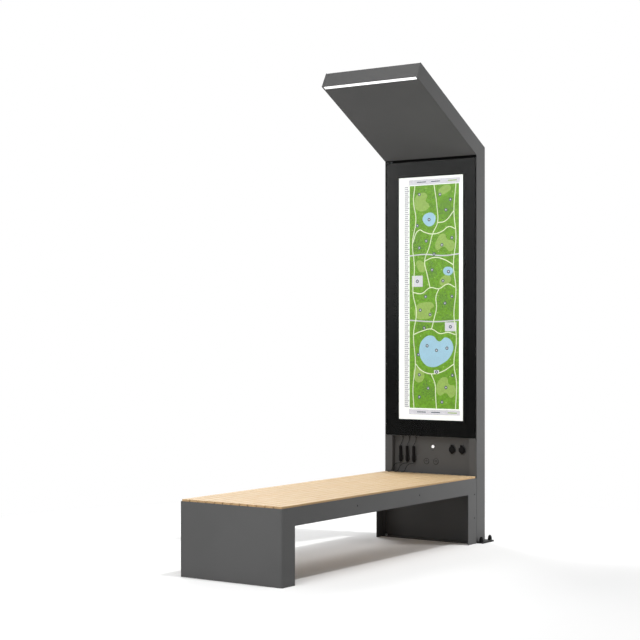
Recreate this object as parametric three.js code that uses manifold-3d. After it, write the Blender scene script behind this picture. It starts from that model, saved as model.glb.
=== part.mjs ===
// A solar charging bench: a slatted bench in a folded steel frame, and at its far end a flat steel
// column with a glazed poster door, a charging niche over the deck and a sloping solar canopy.
// Millimetres, +Z up. X runs across the bench, and Y along it from its free end to the column.
// The origin is under the middle of the whole object, on the ground.
import * as THREE from "three";
import { mergeVertices } from "three/addons/utils/BufferGeometryUtils.js";
import Module from "manifold-3d";

const wasm = await Module();
wasm.setup();

// Driving dimensions
const benchWidth = 725;
const benchLength = 2215;
const seatHeight = 450;
const columnDepth = 114;
const rootHeight = 2606;
const canopyReach = 887;
const canopyThickness = 108;
const canopyPitch = THREE.MathUtils.degToRad(28.25);

// Sheet, fits and fasteners
const plate = 4;
const sheet = 3;
const thinSheet = 2;
const bendRadius = 5;
const seam = 0.3;
const fit = 0.5;
const overrun = 5;
const frameCorners = 4;
const root = 0.5;
const roundSides = 20;
const smallSides = 12;
const bendSteps = 3;

// Bench frame
const slatProud = 12;
const railDepth = 106;
const railLip = 20;
const nearLegWidth = 122;
const rearLegWidth = 115;
const endReturn = 20;
const footDepth = 60;
const footThickness = 4;
const bearerWidth = 40;
const bearerDepth = 70;
const bearerFirst = 45;
const screwFromColumn = 31;
const screwBelowSeat = 62;
const tieScrewInset = 17;
const screwHeadRadius = 5.5;
const screwHeadHeight = 3;
const bearerCount = 4;

// Deck
const slatCount = 12;
const slatThickness = 27;
const slatGap = 6;
const slatRound = 3;
const slatEndGap = 1;
const deckSideGap = 1;
const deckRearGap = 8;
const columnGap = 3;

// Base plate and anchors
const baseThickness = 10;
const baseMargin = 45;
const anchorSide = 25;
const anchorFront = 18;
const anchorRear = 24;
const washerRadius = 10;
const washerThickness = 2.5;
const nutRadius = 9.8;
const nutHeight = 10;
const capRadius = 14;
const capHeight = 35;
const capSkirt = 9;
const domeSteps = 4;
const nutSides = 6;
const rearBoltInset = 30;
const rearBoltBack = 32;
const nearBoltInset = 90;

// Front panel and niche
const nicheSink = 10;
const nicheRise = 252;
const lipWidth = 58;
const nicheDepth = 40;
const tieFlange = 45;
const tieFlangeGap = 5;
const trayWall = 2;
const panelMargin = 8;

// Column inside
const rearStopWidth = 22;
const stopWidth = 20;
const stopDepth = 20;
const stopBack = 31;
const plateReturn = 15;
const plateMargin = 20;
const backlightMargin = 55;
const backlightDepth = 12;
const backlightBevel = 2;
const batteryLength = 330;
const batteryDepth = 92;
const batteryHeight = 172;
const batteryPostRadius = 8;
const batteryPostHeight = 12;
const batteryPostShare = 0.38;
const controllerWidth = 190;
const controllerHeight = 120;
const controllerDepth = 46;
const controllerRise = 548;
const controllerBevel = 6;

// Door of the poster case
const doorSideGap = 5;
const doorTopGap = 15;
const glassThickness = 5;
const glassCorner = 4;
const maskThickness = 1;
const borderSide = 100;
const borderBelow = 115;
const borderAbove = 107;
const frameWidth = 30;
const frameDepth = 20;
const frameLip = 18;
const posterLap = 12;
const posterThickness = 1;
const backerThickness = 3;
const pivotInset = 12;
const pivotBack = 10;
const pivotRadius = 3.5;
const pivotBelow = 8;
const pivotAbove = 9;
const pivotInside = 28;
const pivotRunning = 0.3;
const bracketThickness = 5;
const bracketReach = 28;
const bracketDepth = 24;
const bracketGap = 3.5;
const magnetWidth = 14;
const magnetHeight = 60;
const magnetThickness = 3.5;
const strikeThickness = 0.8;
const magnetShare = 0.25;

// Canopy
const soffitFlange = 18;
const moduleDepth = 30;
const moduleDrop = 1.5;
const moduleFrontGap = 15;
const moduleRear = 30;
const moduleSideGap = 2;
const moduleLip = 8;
const moduleFlange = 25;
const moduleWall = 2;
const laminateThickness = 5;
const ledgeWidth = 20;
const junctionWidth = 110;
const junctionLength = 90;
const junctionDepth = 20;
const junctionShare = 0.25;
const lightWidth = 27;
const lightDepth = 14;
const lightWall = 1.5;
const lightEndGap = 8;
const diffuserThickness = 2.5;
const fasciaFlange = 12;
const moduleGap = 3;

// Niche fittings, with their heights over the seat
const buttonRise = 182;
const buttonRadius = 11;
const bezelRadius = 15;
const bezelProud = 2.5;
const buttonProud = 5;
const buttonTravel = 2;
const buttonDome = 1.5;
const bezelBehind = 14;
const portMiddle = -15;
const portPitch = 74;
const portRise = 80;
const portRadius = 18;
const portProud = 3;
const portBody = 13;
const portBehind = 25;
const portSlotWidth = 14;
const portSlotHeight = 6.5;
const portSlotDepth = 12;
const socketInset = 75;
const socketPitch = 76;
const socketRise = 168;
const socketRadius = 29;
const socketProud = 6;
const socketBody = 22;
const socketBore = 18;
const socketWell = 14;
const socketBehind = 22;
const lidRadius = 24;
const lidDepth = 11;
const lidRim = 3;
const lidGap = 0.4;
const lidAxisRise = 29;
const lidAxisOut = 5;
const knuckleRadius = 4;
const knuckleLength = 16;
const knucklePin = 1.8;
const lugWidth = 4;
const lugGap = 0.5;
const lugDrop = 5;
const tabWidth = 14;
const tabLength = 5;
const tabDepth = 4;

// Charging leads
const leadCount = 3;
const leadInset = 52;
const leadPitch = 53;
const leadRadius = 1.8;
const leadSides = 8;
const leadSteps = 36;
const gripRadius = 10.5;
const gripNeck = 8.6;
const gripBore = 3.2;
const gripTopOut = 12;
const gripTopSide = 8;
const gripTopRise = 181;
const gripLowOut = 27;
const gripLowRise = 72;
const gripEndShare = 0.04;
const gripShoulderShare = 0.06;
const holderWidth = 29;
const holderLow = 83;
const holderHigh = 113;
const holderFront = 21;
const glandRadius = 7;
const glandHeight = 9;
const glandNut = 6;
const tipWidth = 10;
const tipHeight = 5.4;
const tipLength = 13;
const tipRound = 1.6;
const tongueWidth = 7;
const tongueHeight = 2;
const tongueLength = 5;
const tipRest = 0.3;

// The route of one lead: across from its grip, behind the column's front, over the seat
const leadRoute = [
  [18, 29, 240.4],
  [18, 29, 233],
  [17.2, 27, 220],
  [14.4, 20, 205],
  [11, 14.6, 194],
  [8.8, 12.6, 187],
  [8, 12, 181],
  [6, 15.75, 153.75],
  [4, 19.5, 126.5],
  [2, 23.25, 99.25],
  [0, 27, 72],
  [-0.8, 28.2, 66],
  [-4.5, 28.8, 61.2],
  [-12, 28.6, 59],
  [-20.5, 27.4, 58],
  [-29, 24.5, 56.5],
  [-36, 19.5, 53],
  [-41, 13, 47],
  [-44.5, 6, 39],
  [-46.5, -1, 30],
  [-48, -7, 20.5],
  [-49.5, -12, 12],
  [-51, -15.6, 6.8],
  [-52.6, -19.4, 3.9],
  [-55.2, -25, 3],
];

// Derived sizes
const halfWidth = benchWidth / 2;
const innerHalf = halfWidth - plate - fit;
const frameTop = seatHeight - slatProud;
const railBottom = frameTop - railDepth;
const slatBottom = seatHeight - slatThickness;
const bearerBottom = slatBottom - bearerDepth;
const tieTop = bearerBottom - tieFlangeGap;
const columnRear = benchLength + columnDepth;
const totalLength = columnRear + baseMargin;
const nicheHalf = halfWidth - lipWidth;
const nicheBottom = seatHeight - nicheSink;
const nicheTop = seatHeight + nicheRise;
const doorTop = rootHeight - doorTopGap;
const doorWidth = benchWidth - 2 * (plate + doorSideGap);
const doorHeight = doorTop - nicheTop;
const doorMiddle = (doorTop + nicheTop) / 2;
const windowWidth = doorWidth - 2 * borderSide;
const windowBottom = nicheTop + borderBelow;
const windowTop = doorTop - borderAbove;
const moduleFront = canopyReach - moduleFrontGap;
const pivotX = pivotInset - doorWidth / 2;
const pivotY = benchLength + pivotBack;
const maskFront = benchLength + glassThickness;
const frameFront = maskFront + maskThickness;
const frameRear = frameFront + frameDepth;
const stopFront = benchLength + stopBack;
const plateFront = stopFront + stopDepth + seam;
const panelFront = benchLength + nicheDepth;
const along = Math.cos(canopyPitch);
const rise = Math.sin(canopyPitch);
const leadPlaces = Array.from({ length: leadCount }, (_, index) => leadInset - nicheHalf + index * leadPitch);
const buttonPlace = [0, seatHeight + buttonRise];
const portPlaces = [-portPitch / 2, portPitch / 2].map((x) => [portMiddle + x, seatHeight + portRise]);
const socketPlaces = [-socketPitch, 0].map((x) => [nicheHalf - socketInset + x, seatHeight + socketRise]);
const rearTop = rootHeight + (canopyThickness - columnDepth * rise) / along;
const deckWidth = benchWidth - 2 * (plate + deckSideGap);
const slatWidth = (deckWidth - (slatCount - 1) * slatGap) / slatCount;

// A point of the canopy's side view: out along the underside from its root, and up square to it
function slope(out, up) {
  return new THREE.Vector2(benchLength - out * along + up * rise, rootHeight + out * rise + up * along);
}

function points(list) {
  return list.map(([a, b]) => new THREE.Vector2(a, b));
}

// Extrusions of an outline along each axis
function extruded(outline, depth) {
  const shape = outline instanceof THREE.Shape ? outline : new THREE.Shape(outline);
  return new THREE.ExtrudeGeometry(shape, { depth, bevelEnabled: false, curveSegments: bendSteps });
}

function alongX(outline, low, high) {
  const turn = new THREE.Matrix4().makeBasis(
    new THREE.Vector3(0, 1, 0),
    new THREE.Vector3(0, 0, 1),
    new THREE.Vector3(1, 0, 0),
  );
  return extruded(outline, high - low).applyMatrix4(turn).translate(low, 0, 0);
}

function alongY(outline, low, high) {
  return extruded(outline, high - low).rotateX(Math.PI / 2).translate(0, high, 0);
}

function alongZ(outline, low, high) {
  return extruded(outline, high - low).translate(0, 0, low);
}

function block(low, high) {
  const size = high.map((value, axis) => value - low[axis]);
  const middle = high.map((value, axis) => (value + low[axis]) / 2);
  return new THREE.BoxGeometry(...size).translate(...middle);
}

// Round bars along each axis, given their centre and both ends
function rodX(radius, low, high, y, z, sides = smallSides) {
  const bar = new THREE.CylinderGeometry(radius, radius, high - low, sides).rotateZ(Math.PI / 2);
  return bar.translate((low + high) / 2, y, z);
}

function rodY(radius, low, high, x, z, sides = roundSides) {
  return new THREE.CylinderGeometry(radius, radius, high - low, sides).translate(x, (low + high) / 2, z);
}

function rodZ(radius, low, high, x, y, sides = smallSides) {
  const bar = new THREE.CylinderGeometry(radius, radius, high - low, sides).rotateX(Math.PI / 2);
  return bar.translate(x, y, (low + high) / 2);
}

// A turned piece about Z, from an outline of radius and height that starts and ends on the axis or closes
function turned(profile, sides = roundSides) {
  const line = points(profile);
  const closed = profile[0][0] > 0;
  if (THREE.ShapeUtils.area(line) < 0) line.reverse();
  if (closed) line.push(line[0].clone());
  return new THREE.LatheGeometry(line, sides).rotateX(Math.PI / 2);
}

// Solids: joining and cutting
function solid(geometry) {
  const bare = geometry.clone();
  bare.deleteAttribute("normal");
  bare.deleteAttribute("uv");
  const merged = mergeVertices(bare);
  const vertProperties = merged.attributes.position.array;
  const triVerts = new Uint32Array(merged.index.array);
  return new wasm.Manifold(new wasm.Mesh({ numProp: 3, vertProperties, triVerts }));
}

function shaped(body) {
  const { vertProperties, triVerts } = body.getMesh();
  const geometry = new THREE.BufferGeometry();
  geometry.setAttribute("position", new THREE.BufferAttribute(vertProperties, 3));
  geometry.setIndex(new THREE.BufferAttribute(triVerts, 1));
  const flat = geometry.toNonIndexed();
  flat.computeVertexNormals();
  return flat;
}

function joined(geometries) {
  return shaped(geometries.map(solid).reduce((whole, next) => whole.add(next)));
}

function cut(geometry, tools) {
  return shaped(tools.map(solid).reduce((whole, tool) => whole.subtract(tool), solid(geometry)));
}

// The outline of a folded sheet that follows a line, with its thickness to the left of the line
function folded(line, thickness, bend = bendRadius) {
  const near = [];
  const far = [];
  line.forEach((corner, index) => {
    const before = line[index - 1];
    const after = line[index + 1];
    const inward = before && corner.clone().sub(before).normalize();
    const outward = after && after.clone().sub(corner).normalize();
    const way = inward || outward;
    const left = new THREE.Vector2(-way.y, way.x);
    if (!before || !after) {
      near.push(corner.clone());
      far.push(corner.clone().addScaledVector(left, thickness));
      return;
    }
    const turn = Math.atan2(inward.cross(outward), inward.dot(outward));
    const side = Math.sign(turn);
    const nearRadius = side > 0 ? bend : bend - thickness;
    const farRadius = side > 0 ? bend - thickness : bend;
    const back = nearRadius * Math.tan(Math.abs(turn) / 2);
    const centre = corner.clone().addScaledVector(inward, -back).addScaledVector(left, side * nearRadius);
    for (let step = 0; step <= bendSteps; step += 1) {
      const spoke = left.clone().multiplyScalar(-side);
      spoke.rotateAround(new THREE.Vector2(), (turn * step) / bendSteps);
      near.push(centre.clone().addScaledVector(spoke, nearRadius));
      far.push(centre.clone().addScaledVector(spoke, farRadius));
    }
  });
  return [...near, ...far.reverse()];
}

// Four bars with mitred corners round an opening, flat in X and Z, with their depth along Y: a ring
// turned in four steps, whose corners are then moved apart. The bar's outline gives how far in from
// the outer edge and how far back each point is.
function mitredFrame(width, height, outline) {
  const ring = outline.map((point) => new THREE.Vector2(Math.SQRT2 * (height / 2 - point.x), point.y));
  if (THREE.ShapeUtils.area(ring) < 0) ring.reverse();
  ring.push(ring[0].clone());
  const frame = new THREE.LatheGeometry(ring, frameCorners, Math.PI / 4);
  const place = frame.attributes.position;
  for (let index = 0; index < place.count; index += 1) {
    const across = place.getX(index);
    place.setX(index, across + (Math.sign(across) * (width - height)) / 2);
  }
  return frame;
}

// A rectangle with rounded corners, centred at a place
function roundedRectangle(width, height, radius, x = 0, y = 0) {
  const right = width / 2 - radius;
  const top = height / 2 - radius;
  const shape = new THREE.Shape();
  shape.absarc(x + right, y - top, radius, -Math.PI / 2, 0);
  shape.absarc(x + right, y + top, radius, 0, Math.PI / 2);
  shape.absarc(x - right, y + top, radius, Math.PI / 2, Math.PI);
  shape.absarc(x - right, y - top, radius, Math.PI, 1.5 * Math.PI);
  return shape;
}

// The same piece on the other side of the bench
function mirrored(geometry) {
  const copy = geometry.index ? geometry.toNonIndexed() : geometry.clone();
  const position = copy.attributes.position;
  for (let corner = 0; corner < position.count; corner += 3) {
    const [first, second, third] = [0, 1, 2].map((step) =>
      new THREE.Vector3().fromBufferAttribute(position, corner + step),
    );
    position.setXYZ(corner, -first.x, first.y, first.z);
    position.setXYZ(corner + 1, -third.x, third.y, third.z);
    position.setXYZ(corner + 2, -second.x, second.y, second.z);
  }
  return copy;
}

// Finishes
const finishes = {
  paint: { color: 0x77787a, roughness: 0.55, metalness: 0.1 },
  wood: { color: 0xdcb98c, roughness: 0.7, metalness: 0 },
  zinc: { color: 0x9da1a4, roughness: 0.5, metalness: 0.7 },
  aluminium: { color: 0xc3c6c9, roughness: 0.4, metalness: 0.8 },
  black: { color: 0x17181a, roughness: 0.45, metalness: 0 },
  rubber: { color: 0x0e0e0f, roughness: 0.8, metalness: 0 },
  glass: { color: 0xbfd0cf, roughness: 0.05, metalness: 0, transparent: true, opacity: 0.3 },
  paper: { color: 0xdfe6d2, roughness: 0.6, metalness: 0 },
  opal: { color: 0xf4f6f6, roughness: 0.4, metalness: 0 },
  cells: { color: 0x0d1730, roughness: 0.15, metalness: 0.1 },
  grey: { color: 0x4b4d50, roughness: 0.5, metalness: 0 },
};

const bench = new THREE.Group();
const canopy = new THREE.Group();
canopy.position.set(0, benchLength, rootHeight);
canopy.rotation.x = -canopyPitch;
bench.add(canopy);

function place(name, geometry, finish, parent = bench) {
  const mesh = new THREE.Mesh(geometry, new THREE.MeshStandardMaterial(finishes[finish]));
  mesh.name = name;
  parent.add(mesh);
  return mesh;
}

// Anchor places on the base plate, and bolt places on the feet inside the legs
const anchorX = halfWidth + anchorSide;
const anchorPlaces = [-anchorX, anchorX].flatMap((x) => [
  [x, benchLength + anchorFront],
  [x, columnRear + anchorRear],
]);
const nearBolts = [-1, 1].map((side) => [side * (halfWidth - nearBoltInset), footDepth / 2 + sheet]);
const rearBolts = [-1, 1].map((side) => [side * (halfWidth - rearBoltInset), benchLength - rearBoltBack]);
const bearerPitch = (benchLength - screwFromColumn - bearerFirst) / (bearerCount - 1);
const bearerPlaces = Array.from({ length: bearerCount }, (_, index) => bearerFirst + index * bearerPitch);

// Bolt heads on the feet inside the legs
function footBolts(places) {
  return places.map(([x, y]) =>
    joined([
      rodZ(washerRadius, footThickness - root, footThickness + washerThickness, x, y),
      rodZ(nutRadius, footThickness, footThickness + washerThickness + nutHeight, x, y, nutSides),
    ]),
  );
}

// The near end is a folded pan that also carries the foot
function endPanel() {
  const wrap = points([
    [-innerHalf, endReturn],
    [-innerHalf, 0],
    [innerHalf, 0],
    [innerHalf, endReturn],
  ]);
  const aboveReturns = slatBottom - fit;
  const pan = cut(alongZ(folded(wrap, sheet), 0, frameTop), [
    block([-halfWidth, sheet + seam, aboveReturns], [halfWidth, endReturn + overrun, frameTop + overrun]),
  ]);
  const footEnd = innerHalf - bendRadius - fit;
  const foot = block([-footEnd, sheet / 2, 0], [footEnd, footDepth, footThickness]);
  return joined([pan, foot, ...footBolts(nearBolts)]);
}

// A skirt is one cut plate: two legs, and between them the rail with its folded lower lip
function skirt() {
  const rail = points([
    [halfWidth - railLip, railBottom],
    [halfWidth, railBottom],
    [halfWidth, frameTop],
  ]);
  const rearLeg = benchLength - rearLegWidth;
  const inner = halfWidth - plate;
  return joined([
    alongY(folded(rail, plate), nearLegWidth, rearLeg),
    block([inner, 0, 0], [halfWidth, nearLegWidth, frameTop]),
    block([inner, rearLeg, 0], [halfWidth, benchLength - columnGap, frameTop]),
    block([inner, nearLegWidth - railLip, slatBottom - plate], [halfWidth, nearLegWidth + railLip, frameTop]),
    block([inner, rearLeg - railLip, slatBottom - plate], [halfWidth, rearLeg + railLip, frameTop]),
    ...skirtScrews(),
  ]);
}

// A cross bearer is a channel, open below
function bearer(y) {
  const near = y - bearerWidth / 2;
  const far = y + bearerWidth / 2;
  const wrap = points([
    [far, bearerBottom],
    [far, slatBottom],
    [near, slatBottom],
    [near, bearerBottom],
  ]);
  return alongX(folded(wrap, sheet), -innerHalf, innerHalf);
}

// Deck slats with rounded top edges
function slat(index) {
  const left = index * (slatWidth + slatGap) - deckWidth / 2;
  const right = left + slatWidth;
  const shape = new THREE.Shape();
  shape.moveTo(left, slatBottom);
  shape.lineTo(right, slatBottom);
  shape.absarc(right - slatRound, seatHeight - slatRound, slatRound, 0, Math.PI / 2);
  shape.absarc(left + slatRound, seatHeight - slatRound, slatRound, Math.PI / 2, Math.PI);
  return alongY(shape, sheet + slatEndGap, benchLength - deckRearGap);
}

// Dome-headed screws through the skirts, into the bearers and the tie flanges
function skirtScrews() {
  const middle = bearerPlaces.slice(1, -1).map((y) => [y, seatHeight - screwBelowSeat]);
  const ties = [tieTop - tieScrewInset, tieTop / 2].map((z) => [benchLength - screwFromColumn, z]);
  const profile = [
    [0, -root],
    [screwHeadRadius, -root],
    [screwHeadRadius, screwHeadHeight / 3],
    [screwHeadRadius / 2, screwHeadHeight],
    [0, screwHeadHeight],
  ];
  return [...middle, ...ties].map(([y, z]) =>
    turned(profile, smallSides).rotateY(Math.PI / 2).translate(halfWidth, y, z),
  );
}

// Base plate under the column, with the domed caps of its anchor bolts
function basePlate() {
  const half = halfWidth + baseMargin;
  const slab = block([-half, benchLength + sheet + seam, 0], [half, totalLength, baseThickness]);
  const dome = Array.from({ length: domeSteps }, (_, step) => {
    const angle = (step / domeSteps) * (Math.PI / 2);
    return [capRadius * Math.cos(angle), capSkirt + (capHeight - capSkirt) * Math.sin(angle)];
  });
  const profile = [[0, -root], [capRadius, -root], ...dome, [0, capHeight]];
  const caps = anchorPlaces.map(([x, y]) => turned(profile, smallSides).translate(x, y, baseThickness));
  return joined([slab, ...caps]);
}

// A column side is one cut plate for column and canopy, with inner strips for the rear cover and the module
function columnSide() {
  const outline = [
    new THREE.Vector2(benchLength, baseThickness),
    slope(0, 0),
    slope(canopyReach, 0),
    slope(canopyReach, canopyThickness),
    new THREE.Vector2(columnRear, rearTop),
    new THREE.Vector2(columnRear, baseThickness),
  ];
  const inner = halfWidth - plate;
  const stopRear = columnRear - sheet - seam;
  const rearStop = block(
    [inner - rearStopWidth, stopRear - sheet, baseThickness],
    [inner + fit, stopRear, rootHeight],
  );
  const ledgeTop = canopyThickness - moduleDrop - moduleDepth - seam;
  const ledge = [
    slope(fasciaFlange - moduleRear, ledgeTop),
    slope(moduleFront, ledgeTop),
    slope(moduleFront, ledgeTop - sheet),
    slope(fasciaFlange - moduleRear, ledgeTop - sheet),
  ];
  const ledgeBar = alongX(ledge, inner - ledgeWidth, inner + fit);
  return joined([alongX(outline, inner, halfWidth), rearStop, ledgeBar]);
}

// The front panel closes the column under the door: its lips frame the niche, and under the deck
// its flanges and foot run forward inside the bench's legs
function frontPanel() {
  const front = benchLength;
  const face = new THREE.Shape([
    new THREE.Vector2(-innerHalf, 0),
    new THREE.Vector2(innerHalf, 0),
    new THREE.Vector2(innerHalf, nicheTop - seam),
    new THREE.Vector2(nicheHalf, nicheTop - seam),
    new THREE.Vector2(nicheHalf, nicheBottom),
    new THREE.Vector2(-nicheHalf, nicheBottom),
    new THREE.Vector2(-nicheHalf, nicheTop - seam),
    new THREE.Vector2(-innerHalf, nicheTop - seam),
  ]);
  const wrap = points([
    [-innerHalf, front - tieFlange],
    [-innerHalf, front + sheet],
    [innerHalf, front + sheet],
    [innerHalf, front - tieFlange],
  ]);
  const flanges = alongZ(folded(wrap.reverse(), sheet), 0, tieTop);
  const upper = cut(alongY(face, front, front + sheet), [
    block([-halfWidth, front - overrun, -overrun], [halfWidth, front + sheet + overrun, tieTop - fit]),
  ]);
  const footEnd = innerHalf - bendRadius - fit;
  const foot = block([-footEnd, front - footDepth, 0], [footEnd, front + sheet / 2, footThickness]);
  return joined([upper, flanges, foot, ...footBolts(rearBolts)]);
}

// Niche tray: floor, roof and two sides folded round, open to the front and the rear
function nicheTray() {
  const half = nicheHalf + trayWall;
  const front = benchLength + sheet + seam;
  const rear = panelFront - seam;
  const shell = block([-half, front, nicheBottom - trayWall], [half, rear, nicheTop - seam]);
  const roof = nicheTop - seam - trayWall;
  const hollow = block([-nicheHalf, front - overrun, nicheBottom], [nicheHalf, rear + overrun, roof]);
  return joined([cut(shell, [hollow]), ...leadPlaces.map(gland)]);
}

// The panel at the back of the niche, bored for its fittings, with the saddles of the leads
function nichePanel() {
  const half = nicheHalf + trayWall + panelMargin;
  const rear = panelFront + trayWall;
  const slab = block([-half, panelFront, nicheBottom - panelMargin], [half, rear, nicheTop - seam]);
  const bore = (radius) => ([x, z]) =>
    rodY(radius + fit, panelFront - overrun, rear + overrun, x, z, roundSides);
  const bores = [bore(buttonRadius + fit)(buttonPlace), ...portPlaces.map(bore(portBody))];
  return joined([cut(slab, [...bores, ...socketPlaces.map(bore(socketBody))]), ...leadPlaces.map(holder)]);
}

// Rear cover with its folded cap behind the solar module
function rearCover() {
  const line = [
    new THREE.Vector2(columnRear, baseThickness + fit),
    new THREE.Vector2(columnRear, rearTop),
    slope(-moduleRear - moduleGap, canopyThickness),
  ];
  return alongX(folded(line, sheet), -innerHalf, innerHalf);
}

// Angle frame that the door closes against, just inside the side plates
function stopFrame() {
  const angle = points([
    [0, 0],
    [stopWidth, 0],
    [stopWidth, sheet],
    [sheet, sheet],
    [sheet, stopDepth],
    [0, stopDepth],
  ]);
  const low = nicheTop + seam;
  const high = rootHeight - fit;
  const ring = mitredFrame(2 * innerHalf, high - low, angle).translate(0, stopFront, (low + high) / 2);
  return joined([ring, ...catchPlates(stopFront + root, magnetThickness + root)]);
}

// Mounting plate across the column, with the backlight in front of it and the controller behind
function mountingPlate() {
  const wrap = points([
    [innerHalf, plateFront + plateReturn],
    [innerHalf, plateFront],
    [-innerHalf, plateFront],
    [-innerHalf, plateFront + plateReturn],
  ]);
  return alongZ(folded(wrap.reverse(), thinSheet), nicheTop + plateMargin, rootHeight - plateMargin);
}

// A slab that stands on Z = 0 with its upper edges bevelled
function bevelledSlab(width, height, depth, bevel) {
  const shape = new THREE.Shape(points([
    [bevel - width / 2, bevel - height / 2],
    [width / 2 - bevel, bevel - height / 2],
    [width / 2 - bevel, height / 2 - bevel],
    [bevel - width / 2, height / 2 - bevel],
  ]));
  const slab = new THREE.ExtrudeGeometry(shape, {
    depth: depth - bevel,
    bevelThickness: bevel,
    bevelSize: bevel,
    bevelSegments: 1,
    bevelEnabled: true,
  });
  return cut(slab, [block([-width, -height, -bevel - overrun], [width, height, 0])]);
}

function backlightPanel() {
  const width = 2 * (halfWidth - backlightMargin);
  const slab = bevelledSlab(width, doorHeight - 2 * backlightMargin, backlightDepth, backlightBevel);
  return slab.rotateX(Math.PI / 2).translate(0, plateFront, doorMiddle);
}

function chargeController() {
  const slab = bevelledSlab(controllerWidth, controllerHeight, controllerDepth, controllerBevel);
  return slab.rotateX(-Math.PI / 2).translate(0, plateFront + thinSheet + seam, nicheTop + controllerRise);
}

function battery() {
  const front = columnRear - sheet - seam - sheet - fit - batteryDepth;
  const middle = front + batteryDepth / 2;
  const top = baseThickness + batteryHeight;
  const wall = roundedRectangle(batteryLength, batteryDepth, bendRadius, 0, middle);
  const reach = batteryLength * batteryPostShare;
  const posts = [-reach, reach].map((x) =>
    rodZ(batteryPostRadius, top - fit, top + batteryPostHeight, x, middle),
  );
  return joined([alongZ(wall, baseThickness, top), ...posts]);
}

// Door of the poster case: glass, printed border, poster and backer in front of a frame of mitred bars
function glass() {
  const pane = roundedRectangle(doorWidth, doorHeight, glassCorner, 0, doorMiddle);
  return alongY(pane, benchLength, maskFront);
}

function mask() {
  const border = roundedRectangle(doorWidth - fit, doorHeight - fit, glassCorner, 0, doorMiddle);
  const edge = windowWidth / 2;
  border.holes.push(new THREE.Path(points([
    [-edge, windowBottom],
    [-edge, windowTop],
    [edge, windowTop],
    [edge, windowBottom],
  ])));
  return alongY(border, maskFront, frameFront);
}

function doorFrame() {
  const channel = points([
    [0, 0],
    [frameWidth, 0],
    [frameWidth, sheet],
    [sheet, sheet],
    [sheet, frameDepth - sheet],
    [frameLip, frameDepth - sheet],
    [frameLip, frameDepth],
    [0, frameDepth],
  ]);
  const ring = mitredFrame(doorWidth - fit, doorHeight - fit, channel).translate(0, frameFront, doorMiddle);
  return joined([
    ring,
    rodZ(pivotRadius, nicheTop - pivotBelow, nicheTop + pivotInside, pivotX, pivotY),
    rodZ(pivotRadius, doorTop - pivotInside, doorTop + pivotAbove, pivotX, pivotY),
    ...catchPlates(frameRear + strikeThickness, strikeThickness + root),
  ]);
}

function poster() {
  const half = windowWidth / 2 + posterLap;
  const front = frameFront + seam;
  const low = windowBottom - posterLap;
  return block([-half, front, low], [half, front + posterThickness, windowTop + posterLap]);
}

function posterBacker() {
  const half = doorWidth / 2 - frameWidth - fit;
  const front = frameFront + seam + posterThickness + seam;
  const edge = frameWidth + fit;
  return block([-half, front, nicheTop + edge], [half, front + backerThickness, doorTop - edge]);
}

function pivotBrackets() {
  const top = benchLength + bracketGap + bracketDepth;
  return [nicheTop - pivotBelow + thinSheet, doorTop + bracketGap].map((low) => {
    const ear = block(
      [-halfWidth + plate - root, benchLength + bracketGap, low],
      [bracketReach - halfWidth, top, low + bracketThickness],
    );
    const high = low + bracketThickness;
    return cut(ear, [rodZ(pivotRadius + pivotRunning, low - overrun, high + overrun, pivotX, pivotY)]);
  });
}

// Catch magnets on the stop frame, and their strikes on the door
const catchHeights = [magnetShare, 1 - magnetShare].map((share) => nicheTop + share * doorHeight);

function catchPlates(rear, thickness) {
  const right = doorWidth / 2 - thinSheet;
  return catchHeights.map((z) =>
    block([right - magnetWidth, rear - thickness, z - magnetHeight / 2], [right, rear, z + magnetHeight / 2]),
  );
}

// Canopy pieces, in the canopy's own frame: Y back down the slope and Z square to it
const fasciaInner = sheet + seam;
const lightFront = -canopyReach + fasciaInner;
const lightRear = lightFront + lightWidth;

function soffit() {
  const wrap = points([
    [lightRear + seam, soffitFlange],
    [lightRear + seam, 0],
    [-thinSheet, 0],
    [-thinSheet, soffitFlange],
  ]);
  return alongX(folded(wrap, thinSheet), -innerHalf, innerHalf);
}

function fascia() {
  const wrap = points([
    [fasciaFlange - canopyReach, canopyThickness],
    [-canopyReach, canopyThickness],
    [-canopyReach, 0],
  ]);
  return alongX(folded(wrap, sheet), -innerHalf, innerHalf);
}

function lightChannel() {
  const wrap = points([
    [lightRear, 0],
    [lightRear, lightDepth],
    [lightFront, lightDepth],
    [lightFront, 0],
  ]);
  const half = innerHalf - lightEndGap;
  return alongX(folded(wrap, lightWall, lightWall + fit), -half, half);
}

function lightDiffuser() {
  const edge = lightWall + seam;
  const half = innerHalf - lightEndGap;
  return block([-half, lightFront + edge, 0], [half, lightRear - edge, diffuserThickness]);
}

const moduleWidth = 2 * (innerHalf - moduleSideGap);
const moduleLength = moduleFront + moduleRear;
const moduleMiddle = (moduleRear - moduleFront) / 2;
const moduleTop = canopyThickness - moduleDrop;

function solarFrame() {
  const bar = points([
    [moduleLip, 0],
    [0, 0],
    [0, moduleDepth],
    [moduleFlange, moduleDepth],
    [moduleFlange, moduleDepth - moduleWall],
    [moduleWall, moduleDepth - moduleWall],
    [moduleWall, moduleWall],
    [moduleLip, moduleWall],
  ]);
  const ring = mitredFrame(moduleWidth, moduleLength, bar);
  return ring.rotateX(-Math.PI / 2).translate(0, moduleMiddle, moduleTop);
}

function solarLaminate() {
  const edge = moduleWall + seam;
  const halfX = moduleWidth / 2 - edge;
  const halfY = moduleLength / 2 - edge;
  const top = moduleTop - moduleWall - seam;
  return block([-halfX, moduleMiddle - halfY, top - laminateThickness], [halfX, moduleMiddle + halfY, top]);
}

function junctionBox() {
  const slab = bevelledSlab(junctionWidth, junctionLength, junctionDepth, backlightBevel);
  const under = moduleTop - moduleWall - seam - laminateThickness - seam;
  return slab.rotateX(Math.PI).translate(0, moduleMiddle + moduleLength * junctionShare, under);
}

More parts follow.
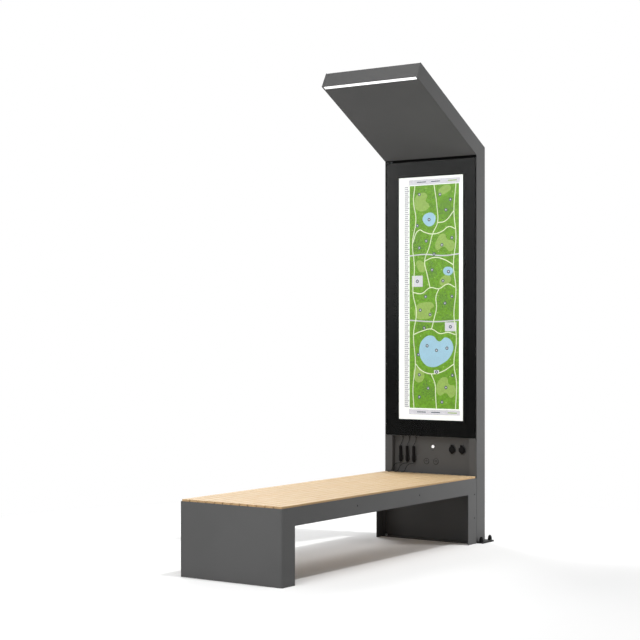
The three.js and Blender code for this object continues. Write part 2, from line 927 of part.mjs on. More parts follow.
// Niche fittings, turned about the bench's length: heights along the profile run back into the panel
function fitting(profile, [x, z], sides = roundSides) {
  return turned(profile, sides).rotateX(-Math.PI / 2).translate(x, panelFront, z);
}

function buttonBezel() {
  const bore = buttonRadius + fit;
  return fitting([
    [bore, -bezelProud],
    [bezelRadius - bezelProud / 2, -bezelProud],
    [bezelRadius, -bezelProud / 2],
    [bezelRadius, -seam],
    [bore + fit, -seam],
    [bore + fit, bezelBehind],
    [bore, bezelBehind],
  ], buttonPlace);
}

function lightButton() {
  return fitting([
    [0, -buttonProud],
    [buttonRadius / 2, -buttonProud + buttonDome / 3],
    [buttonRadius - buttonDome, -buttonProud + buttonDome],
    [buttonRadius, -buttonProud + buttonDome + buttonDome],
    [buttonRadius, trayWall + buttonTravel],
    [0, trayWall + buttonTravel],
  ], buttonPlace);
}

function port(where) {
  const body = fitting([
    [0, -portProud],
    [portRadius - portProud / 2, -portProud],
    [portRadius, -portProud / 2],
    [portRadius, -seam],
    [portBody, -seam],
    [portBody, portBehind],
    [0, portBehind],
  ], where);
  const [x, z] = where;
  const slot = block(
    [x - portSlotWidth / 2, panelFront - overrun, z - portSlotHeight / 2],
    [x + portSlotWidth / 2, panelFront + portSlotDepth, z + portSlotHeight / 2],
  );
  return cut(body, [slot]);
}

// Power sockets: a flange with a well for the plug, and two lugs with the pin of the lid
const lidAxisY = panelFront - socketProud - lidAxisOut;

function socket([x, z]) {
  const body = fitting([
    [0, socketWell],
    [socketBore, socketWell],
    [socketBore, -socketProud],
    [socketRadius - bendRadius / 2, -socketProud],
    [socketRadius, -socketProud / 2],
    [socketRadius, -seam],
    [socketBody, -seam],
    [socketBody, socketBehind],
    [0, socketBehind],
  ], [x, z]);
  const axisZ = z + lidAxisRise;
  const lugs = [-1, 1].map((side) => {
    const near = side * (knuckleLength / 2 + lugGap);
    const low = Math.min(near, near + side * lugWidth);
    const arm = block(
      [x + low, lidAxisY, axisZ - lugDrop],
      [x + low + lugWidth, panelFront - seam, axisZ + knuckleRadius],
    );
    return joined([arm, rodX(knuckleRadius, x + low, x + low + lugWidth, lidAxisY, axisZ)]);
  });
  const reach = knuckleLength / 2 + lugGap + lugWidth / 2;
  return joined([body, ...lugs, rodX(knucklePin, x - reach, x + reach, lidAxisY, axisZ, leadSides)]);
}

function lid([x, z]) {
  const seat = -socketProud - lidGap;
  const cover = fitting([
    [0, seat - lidDepth],
    [lidRadius / 2, seat - lidDepth],
    [lidRadius - lidRim, seat - lidDepth + lidRim],
    [lidRadius, seat - lidRim],
    [lidRadius, seat],
    [lidRadius - lidRim, seat],
    [lidRadius - lidRim, seat - lidRim],
    [0, seat - lidRim],
  ], [x, z]);
  const axisZ = z + lidAxisRise;
  const front = panelFront + seat;
  const half = knuckleLength / 2;
  const arm = block([x - half, front - tabDepth, z + lidRadius - lidRim - lidRim], [x + half, front, axisZ]);
  const tabTop = z - lidRadius + lidRim;
  const tab = block([x - tabWidth / 2, front - tabDepth, tabTop - lidRim - tabLength], [
    x + tabWidth / 2,
    front - tabDepth / 2,
    tabTop,
  ]);
  const knuckle = rodX(knuckleRadius, x - half, x + half, lidAxisY, axisZ);
  const room = half + overrun;
  const bore = rodX(knucklePin + pivotRunning, x - room, x + room, lidAxisY, axisZ, leadSides);
  return cut(joined([cover, arm, tab, knuckle]), [bore]);
}

// Charging leads
function routeOf(x) {
  return leadRoute.map(
    ([across, back, up]) => new THREE.Vector3(x + across, benchLength + back, seatHeight + up),
  );
}

function leadCord(x) {
  const route = new THREE.CatmullRomCurve3(routeOf(x), false, "centripetal");
  const section = new THREE.Shape();
  section.absarc(0, 0, leadRadius, 0, 2 * Math.PI);
  const ring = new THREE.Shape(section.getPoints(leadSides / 2));
  return new THREE.ExtrudeGeometry(ring, { steps: leadSteps, extrudePath: route, curveSegments: 1 });
}

// A place on the grip's axis, from its lower end
function gripAxis(x, share) {
  const low = new THREE.Vector3(x, benchLength + gripLowOut, seatHeight + gripLowRise);
  const top = new THREE.Vector3(x + gripTopSide, benchLength + gripTopOut, seatHeight + gripTopRise);
  return low.lerp(top, share);
}

function alongGrip(geometry, x) {
  const low = gripAxis(x, 0);
  const way = gripAxis(x, 1).sub(low).normalize();
  const turn = new THREE.Quaternion().setFromUnitVectors(new THREE.Vector3(0, 0, 1), way);
  return geometry.applyQuaternion(turn).translate(low.x, low.y, low.z);
}

function grip(x) {
  const length = gripAxis(x, 0).distanceTo(gripAxis(x, 1));
  return alongGrip(turned([
    [gripBore, 0],
    [gripNeck, 0],
    [gripRadius, length * gripEndShare],
    [gripRadius, length * (1 - gripShoulderShare)],
    [gripNeck, length],
    [gripBore, length],
  ], smallSides), x);
}

// A holder is a saddle on the panel that clips round the grip
function holder(x) {
  const share = ((holderLow + holderHigh) / 2 - gripLowRise) / (gripTopRise - gripLowRise);
  const middle = gripAxis(x, share).x;
  const saddle = block(
    [middle - holderWidth / 2, benchLength + holderFront, seatHeight + holderLow],
    [middle + holderWidth / 2, panelFront + root, seatHeight + holderHigh],
  );
  const length = gripAxis(x, 0).distanceTo(gripAxis(x, 1));
  const room = rodZ(gripRadius + seam, -overrun, length, 0, 0, roundSides);
  return cut(saddle, [alongGrip(room, x)]);
}

// Glands in the roof of the niche
function gland(x) {
  const [across, back] = leadRoute[0];
  const roof = nicheTop - seam - trayWall;
  return turned([
    [0, -glandHeight],
    [glandNut, -glandHeight],
    [glandRadius, -glandHeight / 2],
    [glandRadius, root],
    [0, root],
  ], smallSides).translate(x + across, benchLength + back, roof);
}

// Small plug at the end of each lead, resting on the deck
function tip(x) {
  const route = routeOf(x);
  const end = route[route.length - 1];
  const way = end.clone().sub(route[route.length - 2]);
  const heading = Math.atan2(way.x, -way.y);
  const body = alongY(roundedRectangle(tipWidth, tipHeight, tipRound), -tipLength, -seam);
  const blade = roundedRectangle(tongueWidth, tongueHeight, tongueHeight / 3);
  const tongue = alongY(blade, -tipLength - tongueLength, -tipRound);
  const lift = seatHeight + tipRest + tipHeight / 2;
  return joined([body, tongue]).rotateZ(heading).translate(end.x, end.y, lift);
}

place("end_panel", endPanel(), "paint");
place("skirt_right", skirt(), "paint");
place("skirt_left", mirrored(skirt()), "paint");
bearerPlaces.forEach((y, index) => place("deck_bearer_" + (index + 1), bearer(y), "zinc"));
for (let index = 0; index < slatCount; index += 1) {
  place("slat_" + String(index + 1).padStart(2, "0"), slat(index), "wood");
}

place("base_plate", basePlate(), "paint");
place("side_right", columnSide(), "paint");
place("side_left", joined([mirrored(columnSide()), ...pivotBrackets()]), "paint");
place("front_panel", frontPanel(), "paint");
place("rear_cover", rearCover(), "paint");
place("stop_frame", stopFrame(), "zinc");
place("mounting_plate", mountingPlate(), "zinc");
place("backlight_panel", backlightPanel(), "opal");
place("charge_controller", chargeController(), "grey");
place("battery", battery(), "black");

place("door_glass", glass(), "glass");
place("door_mask", mask(), "black");
place("door_frame", doorFrame(), "aluminium");
place("poster", poster(), "paper");
place("poster_backer", posterBacker(), "opal");

place("soffit", soffit(), "paint", canopy);
place("fascia", fascia(), "paint", canopy);
place("light_channel", lightChannel(), "aluminium", canopy);
place("light_diffuser", lightDiffuser(), "opal", canopy);
place("solar_frame", solarFrame(), "aluminium", canopy);
place("solar_laminate", solarLaminate(), "cells", canopy);
place("junction_box", junctionBox(), "black", canopy);

place("niche_tray", nicheTray(), "paint");
place("niche_panel", nichePanel(), "paint");
place("button_bezel", buttonBezel(), "grey");
place("light_button", lightButton(), "opal");
["left", "right"].forEach((side, index) => {
  place("port_" + side, port(portPlaces[index]), "grey");
  place("socket_" + side, socket(socketPlaces[index]), "grey");
  place("socket_lid_" + side, lid(socketPlaces[index]), "rubber");
});
leadPlaces.forEach((x, index) => {
  place("lead_grip_" + (index + 1), grip(x), "rubber");
  place("lead_cord_" + (index + 1), leadCord(x), "rubber");
  place("lead_tip_" + (index + 1), tip(x), "black");
});

bench.position.y = -totalLength / 2;

export default bench;
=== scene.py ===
"""The finish of a solar charging bench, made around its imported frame.

Lengths are in metres. +X runs across the bench, +Y along it towards the column, and +Z up.
"""

import math

import bpy
from mathutils import Matrix, Vector


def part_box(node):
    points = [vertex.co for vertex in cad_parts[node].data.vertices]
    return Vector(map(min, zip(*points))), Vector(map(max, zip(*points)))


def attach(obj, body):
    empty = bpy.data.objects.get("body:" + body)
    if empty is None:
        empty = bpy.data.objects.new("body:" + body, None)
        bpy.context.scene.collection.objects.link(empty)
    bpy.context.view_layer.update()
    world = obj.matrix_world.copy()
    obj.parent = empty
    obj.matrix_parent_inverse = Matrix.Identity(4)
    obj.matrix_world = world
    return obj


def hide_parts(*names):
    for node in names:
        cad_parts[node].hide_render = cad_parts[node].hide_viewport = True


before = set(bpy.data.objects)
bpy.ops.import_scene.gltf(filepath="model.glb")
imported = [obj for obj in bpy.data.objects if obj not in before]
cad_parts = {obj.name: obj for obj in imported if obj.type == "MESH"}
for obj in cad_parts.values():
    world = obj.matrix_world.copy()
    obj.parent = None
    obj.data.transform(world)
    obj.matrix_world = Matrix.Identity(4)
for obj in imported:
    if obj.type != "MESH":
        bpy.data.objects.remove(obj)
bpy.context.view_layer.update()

bl_info = {
    "name": "Solar charging bench",
    "version": (1, 0, 0),
    "blender": (4, 5, 0),
    "location": "3D View > Sidebar > Bench",
    "description": "Finishes, leads, printed sheet, fittings and studio of a solar charging bench",
    "category": "Object",
}

MM = 0.001

# Places that the frame gives: faces of the column and the deck, and the slats' spacing
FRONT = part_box("door_glass")[0].y
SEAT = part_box("slat_01")[1].z
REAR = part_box("rear_cover")[1].y
PANEL_SHEET = 2 * MM
NICHE_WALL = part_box("niche_panel")[1].y - PANEL_SHEET
SLATS, BEARERS = 12, 4
SLAT_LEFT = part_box("slat_01")[0].x
SLAT_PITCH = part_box("slat_02")[0].x - SLAT_LEFT

# The canopy's own axes start where its underside leaves the column
CANOPY_PITCH = math.radians(28.25)
CANOPY_ROOT = Vector((0, FRONT, 2606 * MM))
CANOPY = Matrix.Translation(CANOPY_ROOT) @ Matrix.Rotation(-CANOPY_PITCH, 4, "X")

# The route of one lead: across from the place of its grip, behind the column's front, over the seat
LEAD_ROUTE = [
    (0.0180, 0.0290, 0.2404),
    (0.0180, 0.0290, 0.2330),
    (0.0172, 0.0270, 0.2200),
    (0.0144, 0.0200, 0.2050),
    (0.0110, 0.0146, 0.1940),
    (0.0088, 0.0126, 0.1870),
    (0.0080, 0.0120, 0.1810),
    (0.0060, 0.01575, 0.15375),
    (0.0040, 0.0195, 0.1265),
    (0.0020, 0.02325, 0.09925),
    (0.0000, 0.0270, 0.0720),
    (-0.0008, 0.0282, 0.0660),
    (-0.0045, 0.0288, 0.0612),
    (-0.0120, 0.0286, 0.0590),
    (-0.0205, 0.0274, 0.0580),
    (-0.0290, 0.0245, 0.0565),
    (-0.0360, 0.0195, 0.0530),
    (-0.0410, 0.0130, 0.0470),
    (-0.0445, 0.0060, 0.0390),
    (-0.0465, -0.0010, 0.0300),
    (-0.0480, -0.0070, 0.0205),
    (-0.0495, -0.0120, 0.0120),
    (-0.0510, -0.0156, 0.0068),
    (-0.0526, -0.0194, 0.0039),
    (-0.0552, -0.0250, 0.0030),
]
LEAD_PLACES = (-0.2525, -0.1995, -0.1465)
LEAD_DIAMETER = 0.0036

# Middles of the two ends of a grip, whose place across is 0
GRIP_LOW = Vector((0, FRONT + 0.027, SEAT + 0.072))
GRIP_TOP = Vector((0.008, FRONT + 0.012, SEAT + 0.181))


def linear(hex_colour):
    """Linear RGBA of an sRGB hex colour."""
    channels = [int(hex_colour[place:place + 2], 16) / 255 for place in (0, 2, 4)]
    return (*[c / 12.92 if c <= 0.04045 else ((c + 0.055) / 1.055) ** 2.4 for c in channels], 1.0)


class BenchSizes(bpy.types.PropertyGroup):
    """Sizes of the finish and of the small pieces."""

    edge: bpy.props.FloatProperty(
        name="Coated edge", description="Rounding of the cut edges of the coated steel",
        default=0.8 * MM, min=0, unit="LENGTH",
    )
    slat_edge: bpy.props.FloatProperty(
        name="Slat edge", description="Rounding of the slats' ends",
        default=1.5 * MM, min=0, unit="LENGTH",
    )
    cell: bpy.props.FloatProperty(
        name="Solar cell", description="Side of one square cell of the module",
        default=158 * MM, min=0, unit="LENGTH",
    )
    cell_gap: bpy.props.FloatProperty(
        name="Cell gap", description="Gap between two cells",
        default=4 * MM, min=0, unit="LENGTH",
    )
    cell_corner: bpy.props.FloatProperty(
        name="Cell corner", description="Cut corner of a cell",
        default=12 * MM, min=0, unit="LENGTH",
    )
    busbar: bpy.props.FloatProperty(
        name="Busbar", description="Width of the strips that join the cells",
        default=2 * MM, min=0, unit="LENGTH",
    )
    screw: bpy.props.FloatProperty(
        name="Cover screw", description="Head diameter of the rear cover's screws",
        default=12 * MM, min=0, unit="LENGTH",
    )
    sensor: bpy.props.FloatProperty(
        name="Sensor", description="Diameter of the light sensor under the button",
        default=7 * MM, min=0, unit="LENGTH",
    )


class BenchColours(bpy.types.PropertyGroup):
    """Colours of the finishes."""

    coat: bpy.props.FloatVectorProperty(
        name="Powder coat", description="Grey of the steelwork",
        default=linear("545454"), size=4, min=0, max=1, subtype="COLOR",
    )
    larch: bpy.props.FloatVectorProperty(
        name="Larch", description="Light wood of the slats",
        default=linear("cdb692"), size=4, min=0, max=1, subtype="COLOR",
    )
    larch_grain: bpy.props.FloatVectorProperty(
        name="Larch grain", description="Darker grain of the slats",
        default=linear("bd9765"), size=4, min=0, max=1, subtype="COLOR",
    )
    # Darker ends and sides of the slats: sawn end grain on the ends, painted shade along the sides
    end_grain_and_side_shade: bpy.props.FloatVectorProperty(
        name="End grain", description="Sawn ends and sides of the slats",
        default=linear("bd9c72"), size=4, min=0, max=1, subtype="COLOR",
    )
    black: bpy.props.FloatVectorProperty(
        name="Black plastic", description="Moulded black parts",
        default=linear("141415"), size=4, min=0, max=1, subtype="COLOR",
    )
    print_black: bpy.props.FloatVectorProperty(
        name="Screen print", description="Black border behind the glass",
        default=linear("0e0e0e"), size=4, min=0, max=1, subtype="COLOR",
    )
    paper: bpy.props.FloatVectorProperty(
        name="Sheet", description="White of the backlit sheet",
        default=linear("f4f4f2"), size=4, min=0, max=1, subtype="COLOR",
    )
    meadow: bpy.props.FloatVectorProperty(
        name="Meadow", description="Main green of the map",
        default=linear("6e9e28"), size=4, min=0, max=1, subtype="COLOR",
    )
    lawn: bpy.props.FloatVectorProperty(
        name="Lawn", description="Pale green of the map",
        default=linear("93af59"), size=4, min=0, max=1, subtype="COLOR",
    )
    woods: bpy.props.FloatVectorProperty(
        name="Woods", description="Dark green of the map",
        default=linear("4e6f2a"), size=4, min=0, max=1, subtype="COLOR",
    )
    water: bpy.props.FloatVectorProperty(
        name="Water", description="Lakes of the map",
        default=linear("9bbdd0"), size=4, min=0, max=1, subtype="COLOR",
    )
    path: bpy.props.FloatVectorProperty(
        name="Path", description="Paths of the map",
        default=linear("dfe6c8"), size=4, min=0, max=1, subtype="COLOR",
    )
    band: bpy.props.FloatVectorProperty(
        name="Band", description="Header, footer and squares of the map",
        default=linear("cbc8d0"), size=4, min=0, max=1, subtype="COLOR",
    )
    marker: bpy.props.FloatVectorProperty(
        name="Marker", description="Round markers of the map",
        default=linear("47535c"), size=4, min=0, max=1, subtype="COLOR",
    )
    cell: bpy.props.FloatVectorProperty(
        name="Solar cell", description="Blue black of the cells",
        default=linear("111b30"), size=4, min=0, max=1, subtype="COLOR",
    )


def sizes():
    """The sizes that the sidebar shows."""
    return bpy.context.scene.bench_sizes


def colours():
    """The colours that the sidebar shows."""
    return bpy.context.scene.bench_colours


# Materials

# Noise keeps near its middle value; these spans stretch it to the whole of 0 to 1
NOISE_SPAN = {"From Min": 0.35, "From Max": 0.65}
INK_SPAN = {"From Min": 0.38, "From Max": 0.62}


def add(tree, kind, inputs=None, **settings):
    """Adds a node with its settings; each input takes a value, a socket, or a node's first output."""
    made = tree.nodes.new(kind)
    for name, value in settings.items():
        setattr(made, name, value)
    for name, value in (inputs or {}).items():
        by_name = [socket for socket in made.inputs if socket.enabled and socket.name == name]
        socket = by_name[0] if by_name else made.inputs[name]
        if isinstance(value, bpy.types.Node):
            value = [output for output in value.outputs if output.enabled][0]
        if isinstance(value, bpy.types.NodeSocket):
            tree.links.new(value, socket)
        else:
            socket.default_value = value
    return made


def blank(name):
    """An empty material, its node tree and the place of its pattern."""
    made = bpy.data.materials.new(name)
    made.use_nodes = True
    tree = made.node_tree
    tree.nodes.clear()
    return made, tree, add(tree, "ShaderNodeTexCoord").outputs["Object"]


def coated(tree, inputs, kind="ShaderNodeBsdfPrincipled"):
    """Ends a material in its shader."""
    add(tree, "ShaderNodeOutputMaterial", {"Surface": add(tree, kind, inputs)})


def shade(colour, share):
    """A colour made lighter or darker by a share."""
    return (*[min(1.0, channel * share) for channel in colour[:3]], 1.0)


def powder_coat(name, coat):
    """Polyester powder coat, baked on steel: a fine orange peel and a soft satin shine."""
    made, tree, place = blank(name)
    blotch = add(tree, "ShaderNodeTexNoise", {"Vector": place, "Scale": 1 / (350 * MM)})
    tone = add(tree, "ShaderNodeMapRange", {"Value": blotch, **NOISE_SPAN})
    base = add(tree, "ShaderNodeMix", {
        "Factor": tone, "A": shade(coat, 0.97), "B": shade(coat, 1.03),
    }, data_type="RGBA")
    # Real orange peel is about 1 mm across; it is drawn at 1.6 mm
    peel = add(tree, "ShaderNodeTexNoise", {"Vector": place, "Scale": 1 / (1.6 * MM)})
    shine = add(tree, "ShaderNodeMapRange", {"Value": peel, **NOISE_SPAN, "To Min": 0.54, "To Max": 0.64})
    bump = add(tree, "ShaderNodeBump", {"Height": peel, "Strength": 0.3, "Distance": 0.05 * MM})
    coated(tree, {
        "Base Color": base, "Roughness": shine, "Normal": bump, "IOR": 1.5, "Specular IOR Level": 0.2,
    })
    return made


def larch():
    """Planed and oiled larch: long grain along each slat, and a tone of its own for every slat."""
    made, tree, place = blank("oiled larch")
    # The number of the slat, counted from a hair outside the first, so that no edge lies on a border
    split = add(tree, "ShaderNodeSeparateXYZ", {"Vector": place})
    across = add(tree, "ShaderNodeMath", {
        0: split.outputs["X"], 1: SLAT_LEFT - SLAT_PITCH / 100,
    }, operation="SUBTRACT")
    count = add(tree, "ShaderNodeMath", {0: across, 1: SLAT_PITCH}, operation="DIVIDE")
    number = add(tree, "ShaderNodeMath", {0: count}, operation="FLOOR")
    # Each slat takes its grain from a place of its own, up to 9 m away
    chance = add(tree, "ShaderNodeTexWhiteNoise", {"W": number}, noise_dimensions="1D")
    shift = add(tree, "ShaderNodeVectorMath", {
        0: chance.outputs["Color"], 1: (9, 9, 9),
    }, operation="MULTIPLY")
    moved = add(tree, "ShaderNodeVectorMath", {0: place, 1: shift}, operation="ADD")
    # Larch fibres are under 1 mm wide; they are drawn at 3 mm so that they show, and long along the slat
    long_fibre = add(tree, "ShaderNodeMapping", {"Vector": moved, "Scale": (1, 0.03, 1)})
    fibre = add(tree, "ShaderNodeTexNoise", {
        "Vector": long_fibre, "Scale": 1 / (3 * MM), "Detail": 4, "Roughness": 0.6,
    })
    long_ring = add(tree, "ShaderNodeMapping", {"Vector": moved, "Scale": (1, 0.06, 1)})
    ring = add(tree, "ShaderNodeTexNoise", {"Vector": long_ring, "Scale": 1 / (14 * MM)})
    tones = colours()
    fine = add(tree, "ShaderNodeMapRange", {"Value": fibre, **NOISE_SPAN, "To Max": 0.75})
    wide = add(tree, "ShaderNodeMapRange", {"Value": ring, **NOISE_SPAN, "To Max": 0.4})
    base = add(tree, "ShaderNodeMix", {
        "Factor": fine, "A": tones.larch, "B": tones.larch_grain,
    }, data_type="RGBA")
    ringed = add(tree, "ShaderNodeMix", {
        "Factor": wide, "A": base, "B": shade(tones.larch_grain, 0.9),
    }, data_type="RGBA")
    own_tone = add(tree, "ShaderNodeMapRange", {"Value": chance.outputs["Value"], "To Max": 0.35})
    toned = add(tree, "ShaderNodeMix", {
        "Factor": own_tone, "A": ringed, "B": shade(tones.larch, 0.9),
    }, data_type="RGBA")
    shine = add(tree, "ShaderNodeMapRange", {"Value": fibre, **NOISE_SPAN, "To Min": 0.5, "To Max": 0.62})
    bump = add(tree, "ShaderNodeBump", {"Height": fibre, "Strength": 0.35, "Distance": 0.2 * MM})
    coated(tree, {"Base Color": toned, "Roughness": shine, "Normal": bump, "IOR": 1.45})
    return made


def sawn_larch_and_side_shade():
    """Sawn ends and sides of larch slats, with the curved rings cut across. Darker: real end grain on the
    ends, and painted shade on the sides and undersides.
    """
    made, tree, place = blank("sawn larch and painted side shade")
    bent = add(tree, "ShaderNodeMapping", {"Vector": place, "Scale": (0.35, 1, 1), "Rotation": (0, 0.3, 0)})
    ring = add(tree, "ShaderNodeTexNoise", {"Vector": bent, "Scale": 1 / (2.5 * MM), "Detail": 3})
    tone = add(tree, "ShaderNodeMapRange", {"Value": ring, **NOISE_SPAN})
    dark = colours().end_grain_and_side_shade
    base = add(tree, "ShaderNodeMix", {"Factor": tone, "A": dark, "B": shade(dark, 0.72)}, data_type="RGBA")
    coated(tree, {"Base Color": base, "Roughness": 0.8, "IOR": 1.45})
    return made


def galvanised_steel():
    """Hot-dip galvanised sheet: dull grey zinc with a spangle of crystals about 12 mm wide."""
    made, tree, place = blank("galvanised steel")
    spangle = add(tree, "ShaderNodeTexVoronoi", {"Vector": place, "Scale": 1 / (12 * MM)})
    level = add(tree, "ShaderNodeSeparateColor", {"Color": spangle.outputs["Color"]})
    base = add(tree, "ShaderNodeMix", {
        "Factor": level, "A": linear("8b8f92"), "B": linear("a9adb0"),
    }, data_type="RGBA")
    shine = add(tree, "ShaderNodeMapRange", {"Value": level, "To Min": 0.38, "To Max": 0.55})
    coated(tree, {"Base Color": base, "Metallic": 1.0, "Roughness": shine})
    return made


def anodised_aluminium():
    """Extruded and anodised aluminium: pale metal with faint die lines along the bars."""
    made, tree, place = blank("anodised aluminium")
    # Real die lines are about 0.2 mm apart; they are drawn at 1.2 mm so that they show
    drawn = add(tree, "ShaderNodeMapping", {"Vector": place, "Scale": (1, 1, 0.02)})
    lines = add(tree, "ShaderNodeTexNoise", {"Vector": drawn, "Scale": 1 / (1.2 * MM), "Detail": 3})
    tone = add(tree, "ShaderNodeMapRange", {"Value": lines, **NOISE_SPAN})
    base = add(tree, "ShaderNodeMix", {
        "Factor": tone, "A": linear("b3b6b9"), "B": linear("c6c8ca"),
    }, data_type="RGBA")
    shine = add(tree, "ShaderNodeMapRange", {"Value": tone, "To Min": 0.3, "To Max": 0.42})
    coated(tree, {"Base Color": base, "Metallic": 1.0, "Roughness": shine})
    return made


def float_glass():
    """Toughened float glass with an anti-glare face: clear, with a weak mirror image."""
    made, tree, _ = blank("toughened glass")
    clear = add(tree, "ShaderNodeBsdfTransparent", {"Color": linear("fcfdfc")})
    mirror = add(tree, "ShaderNodeBsdfGlossy", {"Color": linear("ffffff"), "Roughness": 0.14})
    # Both faces of the pane are drawn as mirrors, so each gives half of the image
    share = add(tree, "ShaderNodeMath", {
        0: add(tree, "ShaderNodeFresnel", {"IOR": 1.45}), 1: 0.5,
    }, operation="MULTIPLY")
    coated(tree, {0: share, 1: clear, 2: mirror}, kind="ShaderNodeMixShader")
    return made


def screen_print():
    """Black ceramic ink fired on the back of the glass: even, and with no shine of its own."""
    made, tree, place = blank("black screen print")
    cloud = add(tree, "ShaderNodeTexNoise", {"Vector": place, "Scale": 1 / (120 * MM)})
    tone = add(tree, "ShaderNodeMapRange", {"Value": cloud, **NOISE_SPAN})
    ink = colours().print_black
    base = add(tree, "ShaderNodeMix", {
        "Factor": tone, "A": shade(ink, 0.96), "B": shade(ink, 1.04),
    }, data_type="RGBA")
    coated(tree, {"Base Color": base, "Roughness": 0.6, "IOR": 1.5, "Specular IOR Level": 0.0})
    return made


def moulded(name, colour, roughness, grit, depth, sheen=0.5):
    """A moulded plastic or rubber: even colour, and the fine grit that its mould leaves."""
    made, tree, place = blank(name)
    cloud = add(tree, "ShaderNodeTexNoise", {"Vector": place, "Scale": 1 / (25 * MM)})
    tone = add(tree, "ShaderNodeMapRange", {"Value": cloud, **NOISE_SPAN})
    base = add(tree, "ShaderNodeMix", {
        "Factor": tone, "A": shade(colour, 0.93), "B": shade(colour, 1.07),
    }, data_type="RGBA")
    # Real mould grit is about 0.1 mm wide; each use draws it coarser, so that it shows
    pits = add(tree, "ShaderNodeTexNoise", {"Vector": place, "Scale": 1 / grit})
    shine = add(tree, "ShaderNodeMapRange", {
        "Value": pits, **NOISE_SPAN, "To Min": roughness - 0.04, "To Max": roughness + 0.04,
    })
    bump = add(tree, "ShaderNodeBump", {"Height": pits, "Strength": 0.4, "Distance": depth})
    coated(tree, {
        "Base Color": base, "Roughness": shine, "Normal": bump, "IOR": 1.5, "Specular IOR Level": sheen,
    })
    return made


def lit_acrylic(name, strength):
    """Opal acrylic lit from behind: an even white glow."""
    made, tree, place = blank(name)
    haze = add(tree, "ShaderNodeTexNoise", {"Vector": place, "Scale": 1 / (40 * MM)})
    base = add(tree, "ShaderNodeMix", {
        "Factor": haze, "A": linear("f2f4f5"), "B": linear("ffffff"),
    }, data_type="RGBA")
    coated(tree, {
        "Base Color": base, "Roughness": 0.35, "IOR": 1.49,
        "Emission Color": linear("ffffff"), "Emission Strength": strength,
    })
    return made


def printed_film(name, colour, second, grain):
    """Ink on backlit film: the light behind it makes each colour glow a little, in soft clouds."""
    made, tree, place = blank(name)
    clouds = add(tree, "ShaderNodeTexNoise", {
        "Vector": place, "Scale": 1 / grain, "Detail": 3, "Roughness": 0.65,
    })
    tone = add(tree, "ShaderNodeMapRange", {"Value": clouds, **INK_SPAN})
    base = add(tree, "ShaderNodeMix", {"Factor": tone, "A": colour, "B": second}, data_type="RGBA")
    coated(tree, {
        "Base Color": base, "Roughness": 0.6, "IOR": 1.45,
        "Emission Color": base, "Emission Strength": BACKLIGHT,
    })
    return made


def silicon(name, colour, roughness):
    """Silicon under anti-reflective glass: a deep colour with crystal grains, and a weak shine over it."""
    made, tree, place = blank(name)
    grains = add(tree, "ShaderNodeTexVoronoi", {"Vector": place, "Scale": 1 / (30 * MM)})
    level = add(tree, "ShaderNodeSeparateColor", {"Color": grains.outputs["Color"]})
    base = add(tree, "ShaderNodeMix", {
        "Factor": level, "A": shade(colour, 0.85), "B": shade(colour, 1.2),
    }, data_type="RGBA")
    coated(tree, {
        "Base Color": base, "Roughness": roughness, "IOR": 1.5, "Specular IOR Level": 0.2,
        "Coat Weight": 1.0, "Coat Roughness": 0.04, "Coat IOR": 1.25,
    })
    return made


def plain_metal(name, colour, roughness, feature):
    """A small metal part: bright, with fine marks from tumbling."""
    made, tree, place = blank(name)
    # Real marks are about 0.2 mm wide; each use draws them coarser, so that they show
    marks = add(tree, "ShaderNodeTexNoise", {"Vector": place, "Scale": 1 / feature, "Detail": 4})
    tone = add(tree, "ShaderNodeMapRange", {"Value": marks, **NOISE_SPAN})
    base = add(tree, "ShaderNodeMix", {
        "Factor": tone, "A": shade(colour, 0.9), "B": colour,
    }, data_type="RGBA")
    shine = add(tree, "ShaderNodeMapRange", {
        "Value": tone, "To Min": roughness - 0.06, "To Max": roughness + 0.06,
    })
    coated(tree, {"Base Color": base, "Metallic": 1.0, "Roughness": shine})
    return made


finishes = {}


def finish(name):
    """Each finish is made once, when it is first asked for."""
    tones = colours()
    makers = {
        "coat": lambda: powder_coat("powder coated steel", tones.coat),
        # Partly a darker coat and partly painted shade: the coat at a fifth of its brightness, for the base
        # plate
        "dark coat and shade": lambda: powder_coat("dark powder coat and painted shade", shade(tones.coat, 0.22)),
        "larch": larch,
        # Sawn end grain on the slats' ends, painted shade on their sides
        "larch ends and shaded sides": sawn_larch_and_side_shade,
        "zinc": galvanised_steel,
        "aluminium": anodised_aluminium,
        "glass": float_glass,
        "glass edge": lambda: moulded("ground glass edge", linear("141a18"), 0.4, 2 * MM, 0.01 * MM),
        "screen print": screen_print,
        "black": lambda: moulded("moulded black plastic", tones.black, 0.42, 0.8 * MM, 0.03 * MM),
        "rubber": lambda: moulded(
            "soft black rubber", shade(tones.black, 0.6), 0.75, 1.1 * MM, 0.04 * MM, sheen=0.15,
        ),
        "grey": lambda: moulded("moulded grey plastic", linear("3b3b3c"), 0.45, 0.8 * MM, 0.03 * MM),
        "strip light": lambda: lit_acrylic("lit opal strip", 0.75),
        "button light": lambda: lit_acrylic("lit opal button", 0.5),
        "backlight": lambda: lit_acrylic("backlight panel", 0.5),
        "paper": lambda: printed_film("backlit sheet", tones.paper, shade(tones.paper, 0.98), 12 * MM),
        "cell": lambda: silicon("silicon cells", tones.cell, 0.3),
        "backing": lambda: silicon("module backing", linear("0b0d13"), 0.4),
        "silver": lambda: plain_metal("tinned busbars", linear("b9bdc1"), 0.35, 3 * MM),
        "steel": lambda: plain_metal("stainless steel", linear("a7a9ab"), 0.32, 2 * MM),
        "brass": lambda: plain_metal("contact brass", linear("c8a862"), 0.3, 1 * MM),
    }
    if name not in finishes:
        finishes[name] = makers[name]()
    return finishes[name]


# Modelling

# Edges turned by more than this stay sharp, and faces turned by less than this become one
SHARP = math.radians(35)
FLAT = math.radians(0.5)

